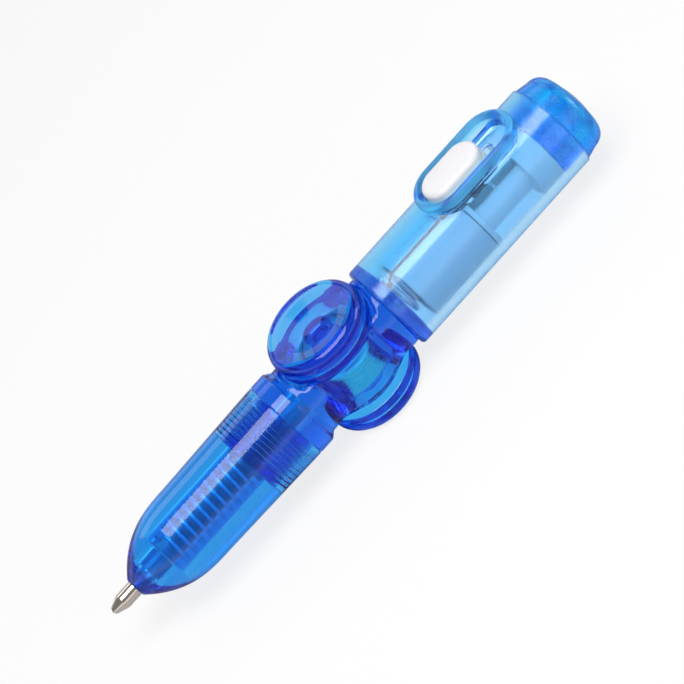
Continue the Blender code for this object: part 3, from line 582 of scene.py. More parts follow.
def metal(name, first, second, roughness, stretch, scale=1.0, depth=0.003):
    """Metal with fine drawn or turned lines, long in the direction with the least stretch."""
    material, tree, shader = blank(name)
    shader.inputs["Metallic"].default_value = 1.0
    lines = pattern(tree, scale, 4.0, stretch)
    tree.links.new(blended(tree, pattern(tree, 0.5), first, second), shader.inputs["Base Color"])
    tree.links.new(ranged(tree, lines, roughness * 0.7, roughness * 1.4), shader.inputs["Roughness"])
    bumped(tree, shader, lines, depth)
    return material


def milky(name, first, second, clear, roughness):
    """Milky plastic that lets part of the light through."""
    material, tree, shader = blank(name)
    shader.inputs["Transmission Weight"].default_value = clear
    shader.inputs["IOR"].default_value = CLEAR_IOR
    tree.links.new(blended(tree, pattern(tree, 0.2), first, second), shader.inputs["Base Color"])
    sheen = ranged(tree, pattern(tree, 1.2), roughness * 0.8, roughness * 1.3)
    tree.links.new(sheen, shader.inputs["Roughness"])
    bumped(tree, shader, pattern(tree, 1.5, 3.0), 0.004)
    return material


CLEAR_BLUE = tinted_clear("clear_blue", (0.3, 0.72, 0.98), 100.0, 0.12, (0.48, 0.77, 1.0),
                          rim_haze=0.35, rim_body=(0.14, 0.72, 1.0))
MID_BLUE = tinted_clear("mid_blue", (0.0, 0.70, 0.975), 250.0, 0.25, (0.005, 0.66, 1.0))
DEEP_BLUE = tinted_clear("deep_blue", (0.0, 0.40, 0.89), 300.0, 0.06, (0.14, 0.88, 1.0))
# The front barrel's blue is painted deeper than the same plastic in the torch tube. The extra depth is painted
# shade, standing in for dark surroundings seen through the barrel.
BARREL_BLUE_PAINTED_DEEPER = tinted_clear("barrel_blue", (0.0, 0.70, 0.91), 200.0, 0.05, (0.03, 0.42, 0.89))
WHITE_PLASTIC = moulded("white_plastic", (0.81, 0.80, 0.83), (0.86, 0.85, 0.87), 0.42, 3.0, 0.012)
# The LED holder and the battery sleeve are one pale plastic in two copies. The holder's is painted lighter to
# lift the shade that falls on it near the cap. The sleeve's is painted darker for the stronger light on it.
HOLDER_PLASTIC_PAINTED_LIGHTER = moulded("pale_plastic", (0.90, 0.93, 0.97), (0.94, 0.96, 0.98), 0.38, 2.0, 0.008)
SLEEVE_PLASTIC_PAINTED_DARKER = moulded("sleeve_plastic_painted_darker", (0.80, 0.81, 0.86), (0.86, 0.87, 0.92), 0.38, 2.0, 0.008)
REFILL_PLASTIC = milky("refill_plastic", (0.82, 0.88, 0.94), (0.88, 0.92, 0.96), 0.5, 0.18)
LENS_CLEAR = milky("lens_clear", (0.94, 0.96, 0.98), (0.98, 0.99, 1.0), 0.97, 0.06)
BLUE_INK = moulded("blue_ink", (0.01, 0.09, 0.46), (0.02, 0.12, 0.55), 0.2, 1.0, 0.002)
GREASE = moulded("grease", (0.72, 0.70, 0.55), (0.80, 0.78, 0.64), 0.35, 1.0, 0.006)
BEARING_STEEL = metal("bearing_steel", (0.70, 0.72, 0.74), (0.80, 0.81, 0.82), 0.25, (0.2, 0.2, 4))
SPRING_STEEL = metal("spring_steel", (0.92, 0.93, 0.95), (0.96, 0.97, 0.99), 0.38, (2, 1, 1))
NICKEL = metal("nickel", (0.84, 0.75, 0.66), (0.93, 0.86, 0.78), 0.14, (5, 0.4, 0.4), 1.0, 0.0015)
CELL_CAN = metal("cell_can", (0.70, 0.69, 0.67), (0.80, 0.79, 0.77), 0.25, (5, 0.4, 0.4))
CARBIDE = metal("carbide", (0.30, 0.30, 0.32), (0.40, 0.40, 0.42), 0.15, (1, 1, 1), 3.0, 0.001)
CONTACT_STEEL = metal("contact_steel", (0.20, 0.21, 0.22), (0.42, 0.43, 0.45), 0.4, (0.3, 2, 2))
BRASS = metal("brass", (0.68, 0.50, 0.22), (0.80, 0.62, 0.32), 0.3, (0.3, 2, 2))
COPPER = moulded("copper", (0.05, 0.05, 0.07), (0.09, 0.08, 0.10), 0.45, 2.0, 0.004)


# Hub

def make_pads():
    groove_start, floor_start, floor_end, groove_end = PAD_GROOVE_PLACES
    groove_radius = PAD_RADIUS - PAD_GROOVE_DEPTH
    side_outline = [
        (STUB_END, 0, 0), (STUB_END, STUB_RADIUS, 0.15), (BOSS_START, STUB_RADIUS, 0),
        (BOSS_START, BOSS_RADIUS, 0.12), (PAD_INNER, BOSS_RADIUS, 0.25), (PAD_INNER, PAD_RADIUS, 0.3),
        (groove_start, PAD_RADIUS, 0.1), (floor_start, groove_radius, 0.06), (floor_end, groove_radius, 0.06),
        (groove_end, PAD_RADIUS, 0.1), (PAD_OUTER, PAD_RADIUS, PAD_EDGE), (PAD_OUTER, DISH_RADIUS, 0.8),
        (PAD_OUTER - DISH_DEPTH, DISH_RADIUS * 0.35, 3.0), (PAD_OUTER - DISH_DEPTH, 0, 0),
    ]
    turn = math.radians(GATE_MARK_TURN)
    for name, side in (("finger_pad_top", 1), ("finger_pad_bottom", -1)):
        outline = [(side * height, radius) for height, radius in rounded(side_outline)]
        piece = rough(turned(name, outline, upright=True))
        reach = PAD_RADIUS - GATE_MARK_DEPTH + GATE_MARK_BALL
        place = (reach * math.cos(turn), reach * math.sin(turn), side * GATE_MARK_HEIGHT)
        combine(piece, ball("gate_mark", place, GATE_MARK_BALL), "DIFFERENCE")
        mesh = released(piece)
        add_piece(name, mesh, DEEP_BLUE, "hub_pads", "deep_blue", name)


def soft_min(a, b, width):
    """The lesser of two distances, with a fillet of about that width where they meet."""
    share = np.clip(0.5 + 0.5 * (b - a) / width, 0, 1)
    return b * (1 - share) + a * share - width * share * (1 - share)


def soft_max(a, b, width):
    return -soft_min(-a, -b, width)


def hub_distance(points):
    """Distance from the moulded hub's skin: ring, two necks, and the room cut out for the pads."""
    x, y, z = points.T
    flat = np.hypot(x, y)
    across = np.hypot(y, z)
    ring = soft_max(flat - RING_RADIUS, np.abs(z) - RING_FACE, RING_EDGE)
    pen_neck = soft_max(across - PEN_NECK_RADIUS, soft_max(x, PEN_NECK_END - x, NECK_EDGE), NECK_EDGE)
    torch_neck = soft_max(across - TORCH_NECK_RADIUS, soft_max(-x, x - TORCH_NECK_END, TORCH_NECK_EDGE),
                          TORCH_NECK_EDGE)
    body = soft_min(soft_min(ring, pen_neck, HUB_FILLET), torch_neck, HUB_FILLET)
    room = soft_max(flat - PAD_CLEAR_RADIUS, RING_FACE - np.abs(z), RING_EDGE)
    return soft_max(body, -room, RING_EDGE)


def skin(name, distance, low, high, step):
    """A mesh of the skin where a distance is nothing, with one point to each grid cell that it runs through."""
    axes = [np.arange(first, last, step) for first, last in zip(low, high)]
    grid = np.stack(np.meshgrid(*axes, indexing="ij"), -1)
    inside = distance(grid.reshape(-1, 3)).reshape(grid.shape[:3]) < 0
    corners = np.zeros(np.array(inside.shape) - 1, int)
    for corner in np.ndindex(2, 2, 2):
        corners += inside[tuple(slice(1, None) if c else slice(0, -1) for c in corner)]
    cells = np.argwhere((corners > 0) & (corners < 8))
    index = np.full(corners.shape, -1)
    index[tuple(cells.T)] = np.arange(len(cells))
    faces = []
    for axis in range(3):
        crossed = np.argwhere(np.diff(inside, axis=axis))
        one, two = np.eye(3, dtype=int)[[axis - 2, axis - 1]]
        around = (crossed, crossed - one, crossed - one - two, crossed - two)
        faces += np.stack([index[tuple(cell.T)] for cell in around], 1).tolist()
    mesh = bpy.data.meshes.new(name)
    mesh.from_pydata((np.array(low) + (cells + 0.5) * step).tolist(), [], faces)
    settle(mesh, distance)
    bm = bmesh.new()
    bm.from_mesh(mesh)
    return finished(name, bm)


def settle(mesh, distance, rounds=6, step=1e-3):
    """Evens out a mesh's points and moves them onto the skin where the distance is nothing."""
    places = np.empty(len(mesh.vertices) * 3)
    mesh.vertices.foreach_get("co", places)
    places = places.reshape(-1, 3)
    edges = np.empty(len(mesh.edges) * 2, int)
    mesh.edges.foreach_get("vertices", edges)
    ends = np.concatenate((edges.reshape(-1, 2), edges.reshape(-1, 2)[:, ::-1]))
    shares = np.bincount(ends[:, 0], minlength=len(places))[:, None]
    for turn in range(rounds):
        if turn < rounds - 2:
            around = np.stack([np.bincount(ends[:, 0], places[ends[:, 1], k], len(places))
                               for k in range(3)], 1)
            places = (places + around / shares) / 2
        value = distance(places)
        slope = np.stack([distance(places + step * axis) - distance(places - step * axis)
                          for axis in np.eye(3)], 1) / (2 * step)
        places = places - (value / np.maximum((slope ** 2).sum(1), LEAST_SLOPE))[:, None] * slope
    mesh.vertices.foreach_set("co", places.ravel())


def thread_rings(start, end, radius, depth):
    """Points of an outline with a screw thread that runs out at both ends."""
    count = round(abs(end - start) / THREAD_PITCH * THREAD_STEPS)
    rings = []
    for k in range(count + 1):
        share = k / count
        fade = min(1.0, share * count / THREAD_FADE_STEPS, (1 - share) * count / THREAD_FADE_STEPS)
        rings.append((start + (end - start) * share, radius, depth * fade))
    return rings


def make_frame():
    """One moulding: bearing ring, necks, collar with screw thread, and the torch's plug."""
    piece = rough(skin("spinner_frame", hub_distance, HUB_GRID_LOW, HUB_GRID_HIGH, HUB_GRID_STEP))
    collar = rounded([(COLLAR_ROOT, 0, 0), (COLLAR_ROOT, PEN_NECK_RADIUS - 0.5, 0),
                      (COLLAR_BLEND, PEN_NECK_RADIUS - 0.04, 0.3), (COLLAR_START, COLLAR_RADIUS, 0.5),
                      (COLLAR_END, COLLAR_RADIUS, 0.12), (COLLAR_END, THREAD_ROOT, 0.1),
                      (COLLAR_END - 0.3, THREAD_ROOT, 0)])
    thread = thread_rings(COLLAR_END - THREAD_MARGIN, THREAD_END + THREAD_MARGIN, THREAD_ROOT, THREAD_DEPTH)
    tail = [(THREAD_END + 0.3, THREAD_ROOT), (THREAD_END, THREAD_ROOT - 0.3), (THREAD_END, 0)]
    combine(piece, turned("collar", [*collar, *thread, *tail], MID_ROUND), "UNION")
    plug = rounded([(TORCH_NECK_END - 0.2, 0, 0), (TORCH_NECK_END - 0.2, PLUG_PRESSED - 0.1, 0),
                    (TORCH_NECK_END + 0.3, PLUG_PRESSED, 0), (PLUG_END, PLUG_PRESSED, 0.2), (PLUG_END, 0, 0)])
    combine(piece, turned("plug", plug), "UNION")
    low, high = -RING_FACE - POCKET_PAST, RING_FACE + POCKET_PAST
    pocket = rounded([(low, 0, 0), (low, LIP_RADIUS + POCKET_FLARE, 0), (-RING_FACE + 0.1, LIP_RADIUS, 0.2),
                      (-BEARING_TOP - FIT, LIP_RADIUS, 0), (-BEARING_TOP - FIT, POCKET_RADIUS, 0),
                      (RING_FACE - 0.1, POCKET_RADIUS, 0.2), (high, POCKET_RADIUS + POCKET_FLARE, 0),
                      (high, 0, 0)])
    combine(piece, turned("pocket", pocket, MID_ROUND, upright=True), "DIFFERENCE")
    bore = [(THREAD_END - 1, 0), (THREAD_END - 1, GUIDE_RADIUS), (REFILL_END + 0.1, GUIDE_RADIUS),
            (REFILL_END + 0.1, 0)]
    combine(piece, turned("bore", bore, SMALL_ROUND), "DIFFERENCE")
    mesh = released(piece)
    add_piece("spinner_frame", mesh, DEEP_BLUE, "pen", "deep_blue", "spinner_frame")


def make_outer_race():
    outline = rounded([(-BEARING_TOP, BEARING_RADIUS, 0.3), (BEARING_TOP, BEARING_RADIUS, 0.3),
                       (BEARING_TOP, RACE_SHOULDER_RADIUS, 0.1), (RACEWAY_EDGE, RACE_SHOULDER_RADIUS, 0),
                       (RACEWAY_FLOOR, RACEWAY_RADIUS, 0.2), (-RACEWAY_FLOOR, RACEWAY_RADIUS, 0.2),
                       (-RACEWAY_EDGE, RACE_SHOULDER_RADIUS, 0), (-BEARING_TOP, RACE_SHOULDER_RADIUS, 0.1)],
                      closed=True)
    add_piece("bearing_outer_race", turned("bearing_outer_race", outline, upright=True), BEARING_STEEL, "pen",
              "bearing_steel", "bearing_outer_race")


# Pen

def make_front_barrel():
    nose = []
    for k in range(NOSE_STEPS + 1):
        share = math.sin(math.pi / 2 * k / NOSE_STEPS)
        drop = (WAIST_RADIUS - NOSE_END_RADIUS) * share ** NOSE_FULLNESS
        nose.append((NOSE_START + (NOSE_END - NOSE_START) * share, WAIST_RADIUS - drop))
    # The first and last points only give the mouth's fillets their direction
    mouth = rounded([(MOUTH - 1, SOCKET_RADIUS, 0), (MOUTH, SOCKET_RADIUS, 0.12), (MOUTH, COLLAR_RADIUS, 0.15),
                     (MOUTH - 1, COLLAR_RADIUS - 0.02, 0)])[1:-1]
    inside = rounded([(NOSE_END, NOSE_END_RADIUS - 0.06, 0), (NOSE_END - 0.02, TIP_BORE, 0.06),
                      (GUIDE_START, TIP_BORE, 0), (GUIDE_START, GUIDE_RADIUS, 0.08),
                      (CHAMBER_START, GUIDE_RADIUS, 0.08), (CHAMBER_START, CHAMBER_RADIUS, 0.25),
                      (SOCKET_BOTTOM, CHAMBER_RADIUS, 0.1), (SOCKET_BOTTOM, SOCKET_RADIUS, 0.1),
                      (SOCKET_BOTTOM + 0.3, SOCKET_RADIUS, 0)])
    thread = thread_rings(SOCKET_BOTTOM + THREAD_MARGIN, MOUTH - THREAD_MARGIN, SOCKET_RADIUS, SOCKET_DEPTH)
    outline = [*mouth, *nose, *inside, *thread]
    # The barrel's deeper blue is painted shade for dark surroundings seen through it
    add_piece("front_barrel", turned("front_barrel", outline), BARREL_BLUE_PAINTED_DEEPER, "barrel", "barrel_blue",
              "front_barrel")


def make_refill():
    # The ring at TIP_SHADING_RING keeps the cone's slope out of the shading of the straight part
    tip = rounded([(TIP_MOUTH, TIP_MOUTH_BORE, 0), (TIP_MOUTH, TIP_MOUTH_RADIUS, 0.06),
                   (CONE_START, CONE_START_RADIUS, 0.1), (CONE_END, CONE_END_RADIUS, 0.1),
                   (TIP_STRAIGHT, TIP_RADIUS, 0), (TIP_SHADING_RING, TIP_RADIUS, 0),
                   (GUIDE_START, TIP_RADIUS, 0), (GUIDE_START, SHANK_RADIUS, 0),
                   (SHANK_END, SHANK_RADIUS, 0.08), (SHANK_END, INK_CHANNEL_RADIUS, 0),
                   (INK_CHANNEL_END, INK_CHANNEL_RADIUS, 0), (BALL_SEAT, BALL_SEAT_RADIUS, 0)], closed=True)
    add_piece("writing_tip", turned("writing_tip", tip, SMALL_ROUND), NICKEL, "pen", "nickel", "writing_tip")
    tube = rounded([(REFILL_START, REFILL_BORE, 0), (REFILL_START, REFILL_RADIUS, 0.12),
                    (FLANGE_FRONT, REFILL_RADIUS, 0.1), (FLANGE_FRONT, FLANGE_RADIUS, 0.1),
                    (FLANGE_BACK, FLANGE_RADIUS, 0.1), (FLANGE_BACK, REFILL_RADIUS, 0.1),
                    (REFILL_END, REFILL_RADIUS, 0.1), (REFILL_END, REFILL_BORE, 0)], closed=True)
    add_piece("refill_tube", turned("refill_tube", tube, SMALL_ROUND), REFILL_PLASTIC, "pen", "refill_plastic",
              "refill_tube")
    ink = rounded([(SHANK_END + FIT, 0, 0), (SHANK_END + FIT, INK_RADIUS, 0.1),
                   (FOLLOWER_START - FIT, INK_RADIUS, 0.05),
                   (FOLLOWER_START - 0.35, MENISCUS_RADIUS, MENISCUS_ROUNDING), (FOLLOWER_START - 0.4, 0, 0)])
    add_piece("ink_column", turned("ink_column", ink, SMALL_ROUND), BLUE_INK, "pen", "blue_ink", "ink_column")
    follower = rounded([(FOLLOWER_START - 0.33, 0, 0),
                        (FOLLOWER_START - 0.28, MENISCUS_RADIUS, MENISCUS_ROUNDING),
                        (FOLLOWER_START, INK_RADIUS, 0.05), (FOLLOWER_END, INK_RADIUS, 0.1),
                        (FOLLOWER_END - 0.3, MENISCUS_RADIUS, MENISCUS_ROUNDING), (FOLLOWER_END - 0.35, 0, 0)])
    add_piece("ink_follower", turned("ink_follower", follower, SMALL_ROUND), GREASE, "pen", "grease",
              "ink_follower")


def coil(start, end, turns, start_radius, end_radius, wire):
    """Points of a spring along the pen, with a straight end at each seat as the solid has."""
    first, last = start + wire, end - wire
    count = turns * COIL_STEPS
    places = [(start, 0, start_radius)]
    for k in range(count + 1):
        share = k / count
        angle = 2 * math.pi * turns * share
        radius = start_radius + (end_radius - start_radius) * share
        places.append((first + (last - first) * share, radius * math.sin(angle), radius * math.cos(angle)))
    return [*places, (end, 0, end_radius)]


def make_springs():
    refill = coil(CHAMBER_START + FIT, FLANGE_FRONT - FIT, SPRING_TURNS, SPRING_COIL, SPRING_COIL, SPRING_WIRE)
    add_piece("refill_spring", swept("refill_spring", refill, SPRING_WIRE), SPRING_STEEL, "pen", "spring_steel",
              "refill_spring")
    battery = coil(PLUG_END + FIT, BATTERY_SPRING_END, BATTERY_SPRING_TURNS, BATTERY_SPRING_WIDE,
                   BATTERY_SPRING_NARROW, BATTERY_SPRING_WIRE)
    add_piece("battery_spring", swept("battery_spring", battery, BATTERY_SPRING_WIRE), SPRING_STEEL, "pen",
              "spring_steel", "battery_spring")


# Torch

def rim_ring(length, width, height, inset):
    """A ring of points round the switch's bezel or its pocket."""
    return stadium(BEZEL_CENTRE, length - 2 * inset, width - 2 * inset, height)


def make_torch_barrel():
    outside = rounded([(TUBE_START + 1, TUBE_BORE, 0), (TUBE_START, TUBE_BORE, 0.12),
                       (TUBE_START, TUBE_RADIUS, TUBE_ROUNDING), (TUBE_START + 2, TUBE_RADIUS, 0)])[1:]
    along = np.arange(TUBE_START + 3, TUBE_END - 0.6, TUBE_RING_STEP)
    end = rounded([(TUBE_END - 0.5, TUBE_RADIUS, 0), (TUBE_END, TUBE_RADIUS, 0.1), (TUBE_END, TUBE_BORE, 0.1),
                   (TUBE_END - 0.5, TUBE_BORE, 0)])
    outline = [*outside, *((u, TUBE_RADIUS) for u in along), *end, *((u, TUBE_BORE) for u in along[::-1])]
    piece = rough(turned("torch_barrel", outline))

    turns = [math.pi / 2 * k / FILLET_STEPS for k in range(FILLET_STEPS + 1)]
    bezel = [rim_ring(BEZEL_LENGTH, BEZEL_WIDTH, BED_HEIGHT, 0)]
    bezel += [rim_ring(BEZEL_LENGTH, BEZEL_WIDTH, RIM_HEIGHT - RIM_ROUNDING * (1 - math.sin(a)),
                       RIM_ROUNDING * (1 - math.cos(a))) for a in turns]
    pocket = [rim_ring(POCKET_LENGTH, POCKET_WIDTH, POCKET_BOTTOM, 0)]
    pocket += [rim_ring(POCKET_LENGTH, POCKET_WIDTH, RIM_HEIGHT - RIM_ROUNDING * math.cos(a),
                        -RIM_ROUNDING * (1 - math.cos(a)) * RIM_LEAN) for a in turns]
    pocket.append(rim_ring(POCKET_LENGTH, POCKET_WIDTH, RIM_HEIGHT + 1, -RIM_ROUNDING * RIM_LEAN))
    slot = [stadium((SLOT_START + SLOT_END) / 2, SLOT_END - SLOT_START, SLOT_WIDTH, height, SLOT_STEPS)
            for height in (BED_HEIGHT - 1, POCKET_BOTTOM + 0.5)]
    seat = [(HOLDER_END, 0), (HOLDER_END, TUBE_BORE), (CAP_END, TUBE_BORE), (CAP_END, 0)]
    combine(piece, lofted("bezel", bezel), "UNION")
    combine(piece, lofted("pocket", pocket), "DIFFERENCE")
    combine(piece, lofted("slot", slot), "DIFFERENCE")
    combine(piece, turned("seat", seat), "DIFFERENCE")
    mesh = released(piece)
    add_piece("torch_barrel", mesh, CLEAR_BLUE, "pen", "clear_blue", "torch_barrel")


def make_end_cap():
    crown = []
    crown_place = CAP_END - CAP_CROWN_DROP
    for k in range(DOME_STEPS + 1):
        angle = math.pi / 2 * k / DOME_STEPS
        crown.append((CAP_SKIRT_TOP + (crown_place - CAP_SKIRT_TOP) * math.sin(angle),
                      CAP_CROWN_RADIUS + (CAP_SHOULDER_RADIUS - CAP_CROWN_RADIUS) * math.cos(angle)))
    top = rounded([(crown_place, CAP_CROWN_RADIUS, 0), (CAP_END, CAP_FLAT_RADIUS, CAP_FLAT_ROUNDING),
                   (CAP_END, 0, 0)])
    base = rounded([(CAP_ROOF, 0, 0), (CAP_ROOF - 0.4, LED_WELL_RADIUS, 0.5),
                    (CAP_PLUG_END, LED_WELL_RADIUS, 0.12), (CAP_PLUG_END, PLUG_RADIUS, 0.2),
                    (CAP_START, PLUG_RADIUS, 0.05), (CAP_START, CAP_SKIRT_RADIUS, 0.12),
                    (CAP_SKIRT_TOP, CAP_SHOULDER_RADIUS, 0)])
    outline = [*base[:-1], *crown[:-1], *top]
    add_piece("end_cap", turned("end_cap", outline), MID_BLUE, "cap", "mid_blue", "end_cap")


def make_switch():
    centre = SLIDER_START + SLIDER_LENGTH / 2
    dome_centre = SLIDER_START + DOME_SETBACK + DOME_LENGTH / 2
    low = POCKET_BOTTOM + FIT
    base_top = low + SLIDER_BASE
    short, narrow = SLIDER_LENGTH - 2 * SLIDER_CHAMFER, SLIDER_WIDTH - 2 * SLIDER_CHAMFER
    rings = [stadium(centre, short, narrow, low),
             stadium(centre, SLIDER_LENGTH, SLIDER_WIDTH, low + SLIDER_CHAMFER),
             stadium(centre, SLIDER_LENGTH, SLIDER_WIDTH, base_top - SLIDER_CHAMFER),
             stadium(centre, short, narrow, base_top)]
    for k in range(SLIDER_EDGE_STEPS + 1):
        angle = math.pi / 2 * k / SLIDER_EDGE_STEPS
        inset = SLIDER_EDGE * (1 - math.cos(angle))
        height = SLIDER_TOP - SLIDER_CROWN - SLIDER_EDGE * (1 - math.sin(angle))
        rings.append(stadium(dome_centre, DOME_LENGTH - 2 * inset, DOME_WIDTH - 2 * inset, height))
    flat = DOME_WIDTH / 2 - SLIDER_EDGE
    for share in (0.25, 0.5, 0.75, 0.97):
        inset = SLIDER_EDGE + flat * share
        rings.append(stadium(dome_centre, DOME_LENGTH - 2 * inset, DOME_WIDTH - 2 * inset,
                             SLIDER_TOP - SLIDER_CROWN * (1 - share) ** 2))
    piece = rough(lofted("switch_slider", rings))
    stem = [stadium((STEM_START + STEM_END) / 2, STEM_END - STEM_START, STEM_WIDTH, height, SLOT_STEPS)
            for height in (CORE_FLAT + FIT, low + 0.4)]
    combine(piece, lofted("stem", stem), "UNION")
    mesh = released(piece)
    add_piece("switch_slider", mesh, WHITE_PLASTIC, "switch", "white_plastic", "switch_slider")


def flat_block(name, low):
    """A block that cuts a flat along the top of a round piece."""
    reach, high = FLAT_REACH, TUBE_RADIUS
    rings = [[(u, -reach, low), (u, reach, low), (u, reach, high), (u, -reach, high)]
             for u in (PLUG_END, CAP_START)]
    return lofted(name, rings)


def make_core():
    sleeve = rounded([(SLEEVE_START, SLEEVE_BORE, 0.1), (SLEEVE_START, PLUG_RADIUS, 0.25),
                      (PLATE_END, PLUG_RADIUS, 0.25), (PLATE_END, SLEEVE_BORE, 0.1)], closed=True)
    holder = rounded([(HOLDER_START, LEAD_BORE, 0.1), (HOLDER_START, PLUG_RADIUS, 0.15),
                      (HOLDER_FLANGE_END, PLUG_RADIUS, 0.15), (HOLDER_FLANGE_END, HOLDER_RADIUS, 0.2),
                      (HOLDER_SHOULDER, HOLDER_RADIUS, 0.2), (HOLDER_SHOULDER, PLUG_RADIUS, 0.15),
                      (HOLDER_END, PLUG_RADIUS, 0.15), (HOLDER_END, LED_WELL_RADIUS, 0.1),
                      (LED_BASE - FIT, LED_WELL_RADIUS, 0), (LED_BASE - FIT, LEAD_BORE, 0)], closed=True)
    # Lit and shaded copies of one pale plastic: the holder's is painted lighter against its shade, and the
    # sleeve's is painted darker for its light
    for name, outline, height, material in (("battery_sleeve", sleeve, CORE_FLAT, SLEEVE_PLASTIC_PAINTED_DARKER),
                                            ("led_holder", holder, HOLDER_FLAT, HOLDER_PLASTIC_PAINTED_LIGHTER)):
        piece = rough(turned(name, outline))
        combine(piece, flat_block("flat", height), "DIFFERENCE")
        add_piece(name, released(piece), material, "pen", "pale_plastic", name)


def make_lamp():
    dome = [(LED_TOP - LED_RADIUS + LED_RADIUS * math.sin(a), LED_RADIUS * math.cos(a))
            for a in (math.pi / 2 * k / DOME_STEPS for k in range(DOME_STEPS))]
    body = rounded([(LED_BASE, 0, 0), (LED_BASE, LED_FLANGE_RADIUS, 0.1),
                    (LED_FLANGE_TOP, LED_FLANGE_RADIUS, 0.1), (LED_FLANGE_TOP, LED_RADIUS, 0.1),
                    (LED_FLANGE_TOP + 1, LED_RADIUS, 0)])
    outline = [*body, *dome, (LED_TOP, 0)]
    add_piece("led", turned("led", outline, SMALL_ROUND), LENS_CLEAR, "pen", "lens_clear", "led")


def make_return_wire():
    path = [(along, WIRE_SIDE, height) for along, height in WIRE_PLACES]
    piece = rough(swept("return_wire", path, WIRE_DIAMETER))
    combine(piece, ball("solder", SOLDER_PLACE, SOLDER_RADIUS), "UNION")
    mesh = released(piece)
    add_piece("return_wire", mesh, COPPER, "pen", "copper", "return_wire")


def dress(material, *nodes):
    """Gives a solid that keeps its own shape a better material."""
    for name in nodes:
        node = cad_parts[name]
        node.data.materials.clear()
        node.data.materials.append(material)


def dress_solids():
    dress(BEARING_STEEL, "bearing_inner_race", "bearing_shield_top", "bearing_shield_bottom",
          *(f"bearing_ball_{i}" for i in range(1, 8)))
    dress(BRASS, "bearing_cage", "positive_plate")
    dress(CARBIDE, "writing_ball")
    dress(CELL_CAN, "button_cell_1", "button_cell_2", "button_cell_3")
    dress(SPRING_STEEL, "led_anode_lead", "led_cathode_lead")
    dress(CONTACT_STEEL, "return_contact", "lamp_contact", "switch_leaf")


# Stage, light and camera

def make_stage():
    """A pale floor. It is near white where it is seen, dimmer in mirrors, and keeps the pen's shadow."""
    mesh = bpy.data.meshes.new("floor")
    size = FLOOR_REACH
    low = -FLOOR_DROP
    corners = [(-size, -size, low), (size, -size, low), (size, size, low), (-size, size, low)]
    mesh.from_pydata(corners, [], [(0, 1, 2, 3)])
    material, tree, shader = blank("floor")
    tint = blended(tree, pattern(tree, 0.004, 2.0), (0.90, 0.895, 0.91), (0.92, 0.92, 0.925))
    rays = tree.nodes.new("ShaderNodeLightPath")
    dimmed = blended(tree, rays.outputs["Is Glossy Ray"], (1, 1, 1), [FLOOR_MIRRORED] * 3)
    product = tree.nodes.new("ShaderNodeMix")
    product.data_type = "RGBA"
    product.blend_type = "MULTIPLY"
    product.inputs["Factor"].default_value = 1.0
    tree.links.new(tint, product.inputs["A"])
    tree.links.new(dimmed, product.inputs["B"])
    tree.links.new(product.outputs["Result"], shader.inputs["Base Color"])
    shader.inputs["Roughness"].default_value = 0.9
    shader.inputs["Specular IOR Level"].default_value = 0.0
    glow = tree.nodes.new("ShaderNodeEmission")
    mix = tree.nodes.new("ShaderNodeMixShader")
    direct = tree.nodes.new("ShaderNodeMath")
    total = tree.nodes.new("ShaderNodeMath")
    direct.operation = "MULTIPLY"
    direct.inputs[1].default_value = FLOOR_GLOW
    total.operation = "MAXIMUM"
    tree.links.new(rays.outputs["Is Camera Ray"], direct.inputs[0])
    tree.links.new(rays.outputs["Is Transmission Ray"], total.inputs[0])
    tree.links.new(direct.outputs["Value"], total.inputs[1])
    tree.links.new(total.outputs["Value"], mix.inputs["Fac"])
    tree.links.new(shader.outputs["BSDF"], mix.inputs[1])
    tree.links.new(glow.outputs["Emission"], mix.inputs[2])
    tree.links.new(mix.outputs["Shader"], tree.nodes["Material Output"].inputs["Surface"])
    mesh.materials.append(material)
    floor = bpy.data.objects.new("floor", mesh)
    bpy.context.scene.collection.objects.link(floor)


def make_world():
    """White for what is seen directly or through plastic. Reflections see a room with a dark ceiling."""
    world = bpy.data.worlds.new("studio")
    bpy.context.scene.world = world
    world.use_nodes = True
    tree = world.node_tree

    def background(strength):
        node = tree.nodes.new("ShaderNodeBackground")
        node.inputs["Color"].default_value = (1, 1, 1, 1)
        node.inputs["Strength"].default_value = strength
        return node

    def choose(switch, first, second):
        node = tree.nodes.new("ShaderNodeMixShader")
        tree.links.new(switch, node.inputs["Fac"])
        tree.links.new(first, node.inputs[1])
        tree.links.new(second, node.inputs[2])
        return node.outputs["Shader"]

    way = tree.nodes.new("ShaderNodeTexCoord")
    parts = tree.nodes.new("ShaderNodeSeparateXYZ")
    room = tree.nodes.new("ShaderNodeMapRange")
    room.interpolation_type = "SMOOTHSTEP"
    room.inputs["From Min"].default_value = ROOM_HORIZON
    room.inputs["From Max"].default_value = ROOM_CEILING
    room.inputs["To Min"].default_value = ROOM_BRIGHT
    room.inputs["To Max"].default_value = ROOM_DARK
    mirrored = background(ROOM_BRIGHT)
    tree.links.new(way.outputs["Generated"], parts.inputs["Vector"])
    tree.links.new(parts.outputs["Z"], room.inputs["Value"])
    tree.links.new(room.outputs["Result"], mirrored.inputs["Strength"])
    rays = tree.nodes.new("ShaderNodeLightPath")
    seen = tree.nodes.new("ShaderNodeMath")
    seen.operation = "MAXIMUM"
    tree.links.new(rays.outputs["Is Camera Ray"], seen.inputs[0])
    tree.links.new(rays.outputs["Is Transmission Ray"], seen.inputs[1])
    plain = choose(rays.outputs["Is Glossy Ray"], background(ROOM_DARK).outputs["Background"],
                   mirrored.outputs["Background"])
    shown = choose(seen.outputs["Value"], plain, background(1.0).outputs["Background"])
    tree.links.new(shown, tree.nodes["World Output"].inputs["Surface"])
    tree.nodes.remove(tree.nodes["Background"])


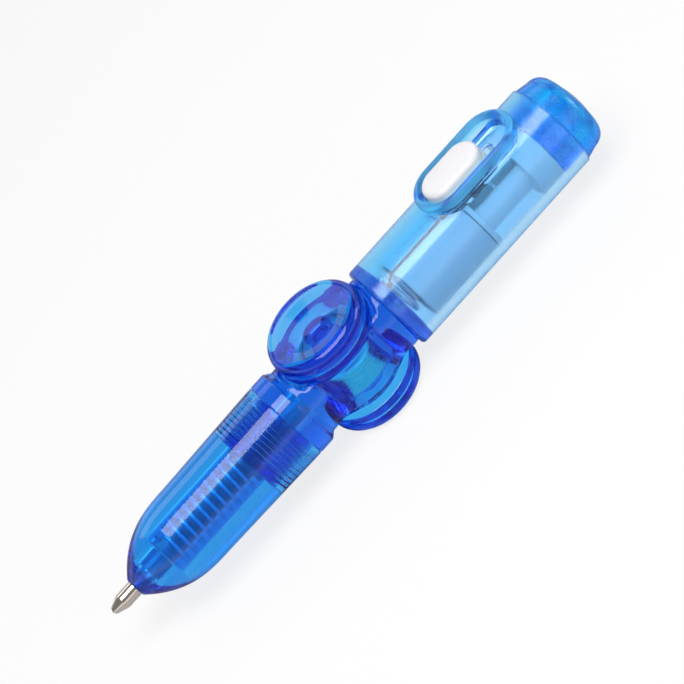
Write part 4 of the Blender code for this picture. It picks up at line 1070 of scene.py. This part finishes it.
def add_softbox(name, side, raised, distance, width, height, strength, mirrored=True):
    """A softbox at an angle round the hub and above the floor, shining at the hub."""
    data = bpy.data.lights.new(name, "AREA")
    data.shape = "RECTANGLE"
    data.size = width
    data.size_y = height
    data.energy = strength * math.pi * width * height
    lamp = bpy.data.objects.new(name, data)
    lamp.visible_camera = False
    lamp.visible_glossy = mirrored
    bpy.context.scene.collection.objects.link(lamp)
    side, raised = math.radians(side), math.radians(raised)
    way = Vector((math.sin(side) * math.cos(raised), -math.cos(side) * math.cos(raised), math.sin(raised)))
    lamp.location = Vector((0, 0, AXIS_HEIGHT * MM)) + way * distance
    lamp.rotation_mode = "QUATERNION"
    lamp.rotation_quaternion = way.to_track_quat("Z", "Y")


def make_lights():
    add_softbox("key_softbox", side=0, raised=75, distance=0.26, width=0.24, height=0.14, strength=5.5)
    add_softbox("fill_softbox", side=20, raised=20, distance=0.5, width=0.4, height=0.3, strength=1.5,
                mirrored=False)
    add_softbox("end_softbox", side=78, raised=12, distance=0.4, width=0.16, height=0.12, strength=3.0)
    add_softbox("rim_softbox", side=175, raised=42, distance=0.4, width=0.6, height=0.14, strength=1.2)


def make_camera():
    """The photo's angle, with the camera rolled about its own axis."""
    azimuth, elevation = math.radians(CAMERA_AZIMUTH), math.radians(CAMERA_ELEVATION)
    roll = math.radians(CAMERA_ROLL)
    back = Vector((math.sin(azimuth) * math.cos(elevation), -math.cos(azimuth) * math.cos(elevation),
                   math.sin(elevation)))
    level = Vector((math.cos(azimuth), math.sin(azimuth), 0))
    rise = back.cross(level)
    right = level * math.cos(roll) + rise * math.sin(roll)
    up = rise * math.cos(roll) - level * math.sin(roll)
    data = bpy.data.cameras.new("camera")
    data.sensor_width = CAMERA_SENSOR
    data.lens = CAMERA_LENS
    data.clip_start, data.clip_end = CAMERA_CLIP
    camera = bpy.data.objects.new("camera", data)
    bpy.context.scene.collection.objects.link(camera)
    hub = Vector((0, 0, AXIS_HEIGHT * MM))
    place = hub + back * CAMERA_DISTANCE + level * CAMERA_RIGHT + rise * CAMERA_UP
    camera.matrix_world = Matrix.Translation(place) @ Matrix((right, up, back)).transposed().to_4x4()
    bpy.context.scene.camera = camera


def main():
    make_pads()
    make_frame()
    make_outer_race()
    make_front_barrel()
    make_refill()
    make_springs()
    make_torch_barrel()
    make_end_cap()
    make_switch()
    make_core()
    make_lamp()
    make_return_wire()
    dress_solids()
    make_stage()
    make_world()
    make_lights()
    make_camera()
    scene = bpy.context.scene
    scene.view_settings.view_transform = "Standard"
    scene.cycles.max_bounces = BOUNCES
    scene.cycles.transmission_bounces = BOUNCES
    scene.cycles.glossy_bounces = BOUNCES


main()
